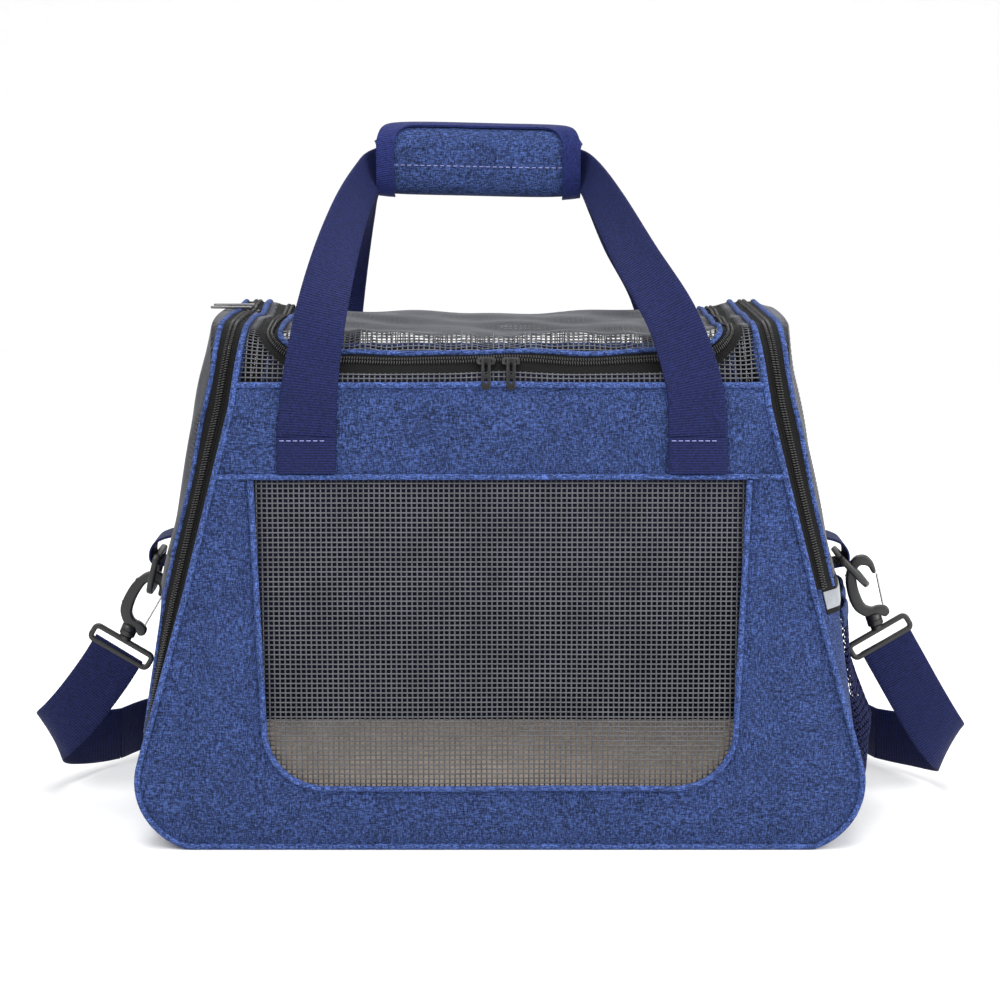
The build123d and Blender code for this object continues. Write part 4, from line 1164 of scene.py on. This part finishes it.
def wrap_place(side, along, down, proud=0.0):
    """A place on the wrap: along from its middle, and down round it from its crest."""
    along, down = np.broadcast_arrays(np.asarray(along, float), np.asarray(down, float))
    pull = 1 - 0.08 * np.abs(along / WRAP_HALF) ** 6
    out = np.interp(down, WRAP_RUN, WRAP_OUT) * pull
    up = np.interp(down, WRAP_RUN, WRAP_UP) * pull
    x = along + (GRIP_X0 + GRIP_X1) / 2
    out = out + 0.5 * np.sin(along / 13.0 + down / 19.0) + proud
    up = up + proud * np.sign(up) * smooth(np.abs(up), 14, 22) - 1.0 * np.sin(along / 40.0)
    return np.stack([x, side * out, GRIP_Z + up], -1)


def wrap_crest(along, inset=0.0):
    """How far down the wrap's upper edge lies: rounded away at both ends."""
    radius = WRAP_ROUND - inset
    into = np.clip(np.abs(along) - (WRAP_HALF - inset) + radius, 0, radius)
    return WRAP_TOP + inset + radius - np.sqrt(radius ** 2 - into ** 2)


def wrap_skin(side, rows=90, columns=40):
    along = np.linspace(-1, 1, rows)[:, None] * (WRAP_HALF - 0.5)
    crest = wrap_crest(along)
    foot = min(WRAP_FOOT, WRAP_RUN[-1])
    return wrap_place(side, along, crest + (foot - crest) * np.linspace(0, 1, columns))


def wrap_border():
    """The binding: up one end of the face, round its corners and down the other end."""
    foot = min(WRAP_FOOT, WRAP_RUN[-1]) - 1
    turn = np.linspace(pi, pi / 2, 20)
    lines = []
    for inset in np.linspace(0, BOUND, 6):
        half, radius = WRAP_HALF - inset, WRAP_ROUND - inset
        corner_x, corner_y = -half + radius, WRAP_TOP + WRAP_ROUND
        rise = np.stack([np.full(20, -half), np.linspace(foot, corner_y, 20)], 1)
        corner = np.stack([corner_x + radius * np.cos(turn), corner_y - radius * np.sin(turn)], 1)
        edge = np.stack([np.linspace(corner_x, 0, 12), np.full(12, WRAP_TOP + inset)], 1)
        half_line = np.concatenate([rise, corner[1:], edge[1:]])
        line = np.concatenate([half_line, (half_line * (-1, 1))[::-1][1:]])
        lines.append(line)
    return np.array(lines).transpose(1, 0, 2)


PAD_THICK = 4.5
front_pad = slab("grip_face", wrap_skin(-1), PAD_THICK, CANVAS, flip=True)
border = wrap_border()
band = wrap_place(-1, border[..., 0], border[..., 1], proud=0.9)
pad_parts = [front_pad, slab("grip_binding", band, 1.4, BINDING)]
SEAM_DOWN = 41.0
for start in np.arange(-WRAP_HALF + 12, WRAP_HALF - 14, 4.4):
    dash = wrap_place(-1, np.linspace(start, start + 2.7, 4), SEAM_DOWN, proud=0.3)
    pad_parts.append(sweep("grip_dash", dash, STITCH, circle(0.32, 6), up=(0, -1, 0)))
grip = join("grip_pad", pad_parts)
place_piece(grip, "front_handle", "blue_canvas", "grip_wrap")
leaf = slab("grip_leaf", wrap_skin(1), PAD_THICK, CANVAS)
place_piece(leaf, "front_handle", "blue_canvas", "grip_wrap_leaf")
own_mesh(leaf)


# ---- the shoulder strap ----
LEFT_DROP = (
    ((-267.0, 0, 107.2), (0.86, 0, -0.51), WEB), ((-278.0, 0, 90.0), (0.84, 0, -0.54), WEB),
    ((-294.0, 1, 68.5), (0.78, 0, -0.62), WEB), ((-307.0, 3, 53.5), (0.70, 0, -0.71), WEB),
    ((-316.0, 8, 44.5), (0.62, 0, -0.78), WEB), ((-319.0, 18, 39.0), (0.58, 0, -0.81), WEB),
    ((-314.0, 34, 33.0), (0.40, 0, -0.92), WEB), ((-302.0, 54, 28.0), (0.20, 0, -0.98), WEB),
    ((-291.0, 70, 25.0), (0.05, 0, -1), WEB), ((-281.0, 84, 23.2), (0, 0, -1), WEB),
)
RIGHT_DROP = (
    ((269.8, 0, 113.6), (0.86, 0, 0.51), WEB), ((281.0, 0, 94.0), (0.84, 0, 0.54), WEB),
    ((296.0, 1, 68.0), (0.80, 0, 0.60), WEB), ((308.0, 3, 48.5), (0.72, 0, 0.69), WEB),
    ((316.5, 8, 36.5), (0.65, 0, 0.76), WEB), ((320.0, 18, 31.0), (0.60, 0, 0.80), WEB),
    ((315.0, 34, 28.0), (0.42, 0, 0.90), WEB), ((302.0, 54, 26.0), (0.20, 0, 0.98), WEB),
    ((290.0, 70, 24.3), (0.05, 0, 1), WEB), ((279.0, 84, 23.2), (0, 0, 1), WEB),
)
BACK_RUN = (
    (-281.0, 84.0), (-268.0, 110.0), (-248.0, 136.0), (-215.0, 156.0), (-150.0, 166.0),
    (-60.0, 168.0), (60.0, 167.0), (150.0, 165.0), (215.0, 155.0), (250.0, 134.0),
    (269.0, 108.0), (279.0, 84.0),
)


def hang_strap(name, stations, node):
    strap = webbing(name, stations, count=70)
    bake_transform(strap)
    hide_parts(node)
    return strap


hang_strap("left_strap", LEFT_DROP, "left_strap_drop")
hang_strap("right_strap", RIGHT_DROP, "right_strap_drop")
run_stations = [((x, y, 23.2), (0, 0, -1), WEB) for x, y in BACK_RUN]
back_strap = webbing("back_strap", run_stations, count=120)
place_piece(back_strap, "root", "navy_webbing", "strap_back_run")


# ---- plastic and metal parts ----
SIDEWAYS = np.array([0.0, 1.0, 0.0])


def rounded(outline, times=2, share=0.22):
    """A closed outline with its corners cut back to curves."""
    line = np.asarray(outline, float)
    for _ in range(times):
        following = np.roll(line, -1, 0)
        cut = np.stack([line * (1 - share) + following * share, line * share + following * (1 - share)], 1)
        line = cut.reshape(-1, 2)
    return line


def rounded_box(width, height, radius, sides=7):
    """A rectangle about the origin with round corners."""
    line = []
    for k, (sx, sy) in enumerate(((1, 1), (-1, 1), (-1, -1), (1, -1))):
        turn = np.linspace(0, pi / 2, sides) + k * pi / 2
        middle = np.array([sx * (width / 2 - radius), sy * (height / 2 - radius)])
        line.append(middle + radius * np.stack([np.cos(turn), np.sin(turn)], 1))
    return np.concatenate(line)


def plate(name, outlines, thick, bevel, finish, origin, across, up):
    """A flat part cut from closed outlines, with rounded edges, set on a plane."""
    curve = bpy.data.curves.new(name, "CURVE")
    curve.dimensions = "2D"
    curve.fill_mode = "BOTH"
    curve.extrude = thick / 2 - bevel
    curve.bevel_depth = bevel
    curve.bevel_resolution = 2
    curve.offset = -bevel
    for outline in outlines:
        spline = curve.splines.new("POLY")
        spline.points.add(len(outline) - 1)
        flat = np.concatenate([outline, np.zeros((len(outline), 1)), np.ones((len(outline), 1))], 1)
        spline.points.foreach_set("co", flat.ravel())
        spline.use_cyclic_u = True
    holder = bpy.data.objects.new(name, curve)
    mesh = bpy.data.meshes.new_from_object(holder)
    bpy.data.objects.remove(holder)
    across, up = unit(np.asarray(across, float)), unit(np.asarray(up, float))
    basis = Matrix(np.stack([across, up, np.cross(across, up)], 1).tolist()).to_4x4()
    mesh.transform(Matrix.Scale(MM, 4) @ Matrix.Translation(Vector(origin)) @ basis)
    work = bmesh.new()
    work.from_mesh(mesh)
    bmesh.ops.remove_doubles(work, verts=work.verts, dist=0.00001)
    bmesh.ops.recalc_face_normals(work, faces=work.faces)
    work.to_mesh(mesh)
    work.free()
    mesh.polygons.foreach_set("use_smooth", [True] * len(mesh.polygons))
    mesh.set_sharp_from_angle(angle=radians(35))
    mesh.materials.clear()
    mesh.materials.append(finish)
    piece = bpy.data.objects.new(name, mesh)
    bpy.context.scene.collection.objects.link(piece)
    return piece


def turned(name, outline, finish, origin, axis, sides=32):
    """A closed outline of radius and height, turned about an axis."""
    axis = unit(np.asarray(axis, float))
    first = unit(np.cross(axis, SIDEWAYS))
    second = np.cross(axis, first)
    angle = np.arange(sides)[:, None, None] * 2 * pi / sides
    outline = np.asarray(outline, float)
    radius, height = outline[None, :, :1], outline[None, :, 1:]
    points = origin + radius * (np.cos(angle) * first + np.sin(angle) * second) + height * axis
    return tube(name, points, finish, closed=True)


def soft_square(size, count=16, power=0.55):
    """A round-cornered bar section."""
    turn = np.arange(count) * 2 * pi / count
    c, s = np.cos(turn), np.sin(turn)
    return np.stack([np.sign(c) * np.abs(c) ** power, np.sign(s) * np.abs(s) ** power], 1) * size / 2


def leaning(lean):
    """The across and up directions of a clip that leans in the XZ plane."""
    turn = radians(lean)
    return np.array([cos(turn), 0, -sin(turn)]), np.array([sin(turn), 0, cos(turn)])


def on_clip(knuckle, lean, points):
    across, up = leaning(lean)
    points = np.asarray(points, float)
    return np.asarray(knuckle) + points[..., :1] * across + points[..., 1:2] * up


RING_BAR, RING_WIDE, RING_LONG, RING_ROUND = 4.6, 46.0, 30.8, 15.0
HOOK_THICK, BARREL, POST = 6.4, 5.6, 2.0
HOOK_OUTLINE = (
    (-4.5, 4.0), (-11.5, 12.0), (-12.5, 22.0), (-11.0, 34.0), (-6.0, 44.0), (1.0, 49.0),
    (8.0, 47.5), (11.5, 42.0), (11.5, 33.0), (8.5, 33.0), (7.5, 39.5), (2.0, 42.0),
    (-2.5, 38.0), (-4.5, 26.0), (-3.5, 14.0), (1.0, 10.0), (5.0, 10.5), (11.5, 8.0),
    (12.0, 3.0), (8.0, 0.5), (4.5, 3.6),
)
BARREL_OUTLINE = (
    (2.5, -2.6), (5.0, -2.6), (BARREL, -2.0), (BARREL, 1.0), (5.2, 1.3), (BARREL, 1.6),
    (BARREL, 4.7), (4.8, 5.4), (2.5, 5.4),
)
LOOP_WIDE, LOOP_HIGH, LOOP_BAR, LOOP_DROP = 49.0, 14.0, 3.8, 11.8
GATE_FOOT, GATE_TIP, GATE_HALF, WIRE = (9.0, 9.6), (11.2, 30.6), 1.6, 0.65


def d_ring(name, pivot, lean):
    down = -leaning(-lean)[1]
    wide, long = (RING_WIDE - RING_BAR) / 2, RING_LONG - RING_BAR
    far = RING_ROUND - RING_BAR / 2
    turn = np.linspace(0, pi / 2, 9)
    near = 1.5
    quarter = np.concatenate([
        np.stack([wide - near + near * np.sin(turn), near - near * np.cos(turn)], 1),
        np.stack([wide - far + far * np.cos(turn), long - far + far * np.sin(turn)], 1),
    ])
    line = np.concatenate([quarter, (quarter * (-1, 1))[::-1]])
    line = resample(np.concatenate([line, line[:1]]), 121)[:-1]
    path = np.asarray(pivot) + line[:, :1] * SIDEWAYS + line[:, 1:] * down
    flat_way = np.cross(SIDEWAYS, down)
    ring = sweep(name, path, PLASTIC, soft_square(RING_BAR), up=flat_way, closed=True)
    place_piece(ring, "root", "black_plastic", name)


def snap_hook(side, knuckle, lean):
    across, up = leaning(lean)
    frame_part = plate(f"{side}_hook_frame", [rounded(HOOK_OUTLINE)], HOOK_THICK, 1.3, PLASTIC,
                       knuckle, across, up)
    barrel = turned("barrel", BARREL_OUTLINE, PLASTIC, np.asarray(knuckle), up)
    teeth = []
    for k in range(6):
        at = on_clip(knuckle, lean, (-11.6 + 0.5 * k, 19.0 + 3.6 * k))
        ends = at + np.array([[-1.0], [1.0]]) * SIDEWAYS * (HOOK_THICK / 2 - 0.7)
        teeth.append(sweep("ridge", ends, PLASTIC, circle(0.9, 8), up=up))
    hook = join(f"{side}_snap_hook", [frame_part, barrel, *teeth])
    place_piece(hook, f"{side}_hook", "black_plastic", f"{side}_hook")
    foot, tip = on_clip(knuckle, lean, GATE_FOOT), on_clip(knuckle, lean, GATE_TIP)
    run = unit(tip - foot)
    turn = np.linspace(0, pi, 9)[:, None]
    bend = tip + GATE_HALF * (-np.cos(turn) * SIDEWAYS + np.sin(turn) * run * 0.5)
    path = np.concatenate([[foot - GATE_HALF * SIDEWAYS], bend, [foot + GATE_HALF * SIDEWAYS]])
    wire = sweep(f"{side}_gate_wire", curve_through(path, 60), STEEL, circle(WIRE, 10),
                 up=np.cross(run, SIDEWAYS))
    place_piece(wire, f"{side}_gate", "wire_steel", f"{side}_gate")


def strap_loop(side, knuckle, lean, tilt):
    across, up = leaning(tilt)
    centre = on_clip(knuckle, lean, (0.0, -LOOP_DROP))
    line = rounded_box(LOOP_WIDE - LOOP_BAR, LOOP_HIGH - LOOP_BAR, 3.1)
    line = resample(np.concatenate([line, line[:1]]), 141)[:-1]
    path = centre + line[:, :1] * across + line[:, 1:] * up
    bar = sweep(f"{side}_loop_bar", path, PLASTIC, soft_square(LOOP_BAR), up=SIDEWAYS, closed=True)
    stem = on_clip(knuckle, lean, ((0.0, LOOP_HIGH / 2 - LOOP_DROP - 2.0), (0.0, -1.0), (0.0, 2.6)))
    post = sweep("post", stem, BLACKENED, circle(POST, 16), up=SIDEWAYS)
    collar_outline = ((0.6, -6.6), (3.0, -6.6), (4.3, -5.0), (4.3, -3.4), (3.8, -3.0), (0.6, -3.0))
    collar = turned("collar", collar_outline, PLASTIC, np.asarray(knuckle), leaning(lean)[1])
    place_piece(join(f"{side}_swivel_loop", [bar, post, collar]), f"{side}_clip", "black_plastic",
                f"{side}_strap_loop")


LEFT_RING, RIGHT_RING = (-236.8, 0, 175.5), (236.0, 0, 174.0)
d_ring("left_d_ring", LEFT_RING, -14.0)
d_ring("right_d_ring", RIGHT_RING, 44.0)
for side, knuckle, lean, tilt in (
    ("left", (-260.8, 0, 119.0), 24.8, 31.0), ("right", (262.6, 0, 126.6), -19.0, -31.0),
):
    snap_hook(side, knuckle, lean)
    strap_loop(side, knuckle, lean, tilt)

TAB_LINE = (
    (-10.4, 14.4), (-5.0, 13.0), (0.6, 10.2), (4.2, 4.8), (4.9, -0.8), (3.2, -4.2), (-1.6, -5.2),
    (-7.0, -6.4),
)
tabs = []
for (ring_x, _, ring_z), side in ((LEFT_RING, -1), (RIGHT_RING, 1)):
    stations = [((ring_x + side * x, 0, ring_z + z), (0, 1, 0), WEB - 3.5) for x, z in TAB_LINE]
    tabs.append(webbing("tab", stations, count=48))
place_piece(join("ring_tabs", tabs), "root", "navy_webbing", "strap_tabs")


# ---- zip sliders, strap adjuster and base board ----
SLIDER_CLEAR, SLIDER_BODY, PULL_LIFT = 0.5, 1.6, 5.9


def slider(name, place, travel, normal, finish):
    travel, normal = unit(np.asarray(travel, float)), unit(np.asarray(normal, float))
    place, side = np.asarray(place, float), np.cross(normal, travel)
    low = place + normal * (SLIDER_CLEAR + SLIDER_BODY / 2)
    body = plate(f"{name}_body", [rounded_box(12.0, 5.6, 2.0)], SLIDER_BODY, 0.5, finish, low, travel, side)
    legs = np.array([(-3.2, 1.9), (-3.0, 3.2), (-1.6, 4.0), (1.6, 4.0), (3.0, 3.2), (3.2, 1.9)])
    path = place + legs[:, :1] * travel + legs[:, 1:] * normal
    bridge = sweep("bridge", curve_through(path, 24), finish, flat_section(2.0, 1.0), up=normal)
    place_piece(join(f"{name}_slider_body", [body, bridge]), f"{name}_slider", "pull_metal",
                f"{name}_slider")


def pull_tab(name, hinge, along, normal, length, width, finish):
    along, normal = unit(np.asarray(along, float)), np.asarray(normal, float)
    side = unit(np.cross(normal, along))
    outline = rounded_box(length, width, width / 2 - 0.01, 12) + (length / 2, 0)
    eye = circle(width / 4, 20) + (length - width, 0)
    slot = rounded_box(length * 0.36, width * 0.34, width * 0.16) + (length * 0.34, 0)
    tab = plate(f"{name}_tab", [outline, eye, slot], 1.6, 0.35, finish, hinge, along, side)
    place_piece(tab, f"{name}_pull", "pull_metal", f"{name}_pull")


TOP_NORMAL = np.array([0, -cos(radians(36.5)), sin(radians(36.5))])
for name, x in (("top_left", -9.0), ("top_right", 7.0)):
    surface_point = np.array([x, -115.977, 321.362])
    slider(name, surface_point, (1, 0, 0), TOP_NORMAL, BLACKENED)
    pull_tab(name, surface_point + TOP_NORMAL * PULL_LIFT, (0, -0.3, -1), (0, -1, 0.3), 21.0, 6.0, BLACKENED)
for name, y in (("left_front", 8.0), ("left_rear", 27.0)):
    slider(name, (-170.4, y, HEIGHT), (0, 1, 0), (0, 0, 1), BLACKENED)
    pull_tab(name, (-170.4, y, HEIGHT + PULL_LIFT), (-1, 0, 0), (0, 0, 1), 29.0, 5.6, GUNMETAL)
RIGHT_NORMAL, RIGHT_TRAVEL = np.array([0.701, 0.690, 0.176]), np.array([-0.244, 0, 0.970])
right_place = np.array([206.07, 119.32, 182.0])
slider("right", right_place, RIGHT_TRAVEL, RIGHT_NORMAL, BLACKENED)
pull_tab("right", right_place + RIGHT_NORMAL * PULL_LIFT, -RIGHT_TRAVEL, RIGHT_NORMAL, 24.0, 5.6, BLACKENED)

ADJUSTER = np.array([-105.0, 167.0, 23.5])
adjuster_parts = []
for side in (-1, 1):
    face = ADJUSTER + (0, side * 2.95, 0)
    outlines = [rounded_box(24.0, 46.0, 2.5), rounded_box(14.0, 39.0, 1.5)]
    adjuster_parts.append(
        plate("adjuster_face", outlines, 1.7, 0.5, PLASTIC, face, (1, 0, 0), (0, 0, 1))
    )
    end = ADJUSTER + (0, 0, side * 21.25)
    adjuster_parts.append(
        plate("adjuster_end", [rounded_box(24.0, 7.6, 1.2)], 3.4, 0.5, PLASTIC, end, (1, 0, 0), (0, 1, 0))
    )
place_piece(join("slide_adjuster", adjuster_parts), "strap_adjuster", "black_plastic", "strap_adjuster")
board = plate("stiff_board", [rounded_box(372.0, 234.0, 12.0)], 3.0, 0.6, BOARD, (0, 0, 4.2),
              (1, 0, 0), (0, 1, 0))
place_piece(board, "root", "board", "base_board")


# ---- floor and light ----
def area_light(name, place, aim, size, power):
    data = bpy.data.lights.new(name, "AREA")
    data.energy = power
    data.size = size
    lamp = bpy.data.objects.new(name, data)
    lamp.location = place
    lamp.rotation_euler = (Vector(aim) - Vector(place)).to_track_quat("-Z", "Y").to_euler()
    bpy.context.scene.collection.objects.link(lamp)


def studio_floor():
    """A pale floor that sweeps up behind the object."""
    y = np.concatenate([np.linspace(-4000, 2500, 20), 2500 + 1500 * np.sin(np.linspace(0.1, 1, 10) * pi / 2),
                        np.full(3, 4000.0)])
    z = np.concatenate([np.zeros(20), 1500 * (1 - np.cos(np.linspace(0.1, 1, 10) * pi / 2)),
                        np.array([2200.0, 3000.0, 4000.0])])
    x = np.array([-5000.0, 0.0, 5000.0])
    grid = np.stack(np.broadcast_arrays(x, y[:, None], z[:, None]), -1)
    finish = grained("studio_paper", (0.86, 0.86, 0.86), 0.9, 30, 0.00001, spread=0.01)
    sheet = make("studio_floor", grid.reshape(-1, 3), grid_faces(33, 3)[:, ::-1], finish)


studio_floor()
area_light("key", (-1.1, -1.5, 1.9), (0, 0, 0.15), 1.4, 30)
area_light("fill", (1.6, -1.3, 1.1), (0, 0, 0.15), 1.6, 42)
area_light("top", (0, 0.2, 2.3), (0, 0, 0.2), 1.8, 36)
world = bpy.data.worlds.new("studio")
world.use_nodes = True
world.node_tree.nodes["Background"].inputs["Color"].default_value = (1, 1, 1, 1)
world.node_tree.nodes["Background"].inputs["Strength"].default_value = 0.9
bpy.context.scene.world = world

bpy.context.scene.view_settings.view_transform = "Standard"
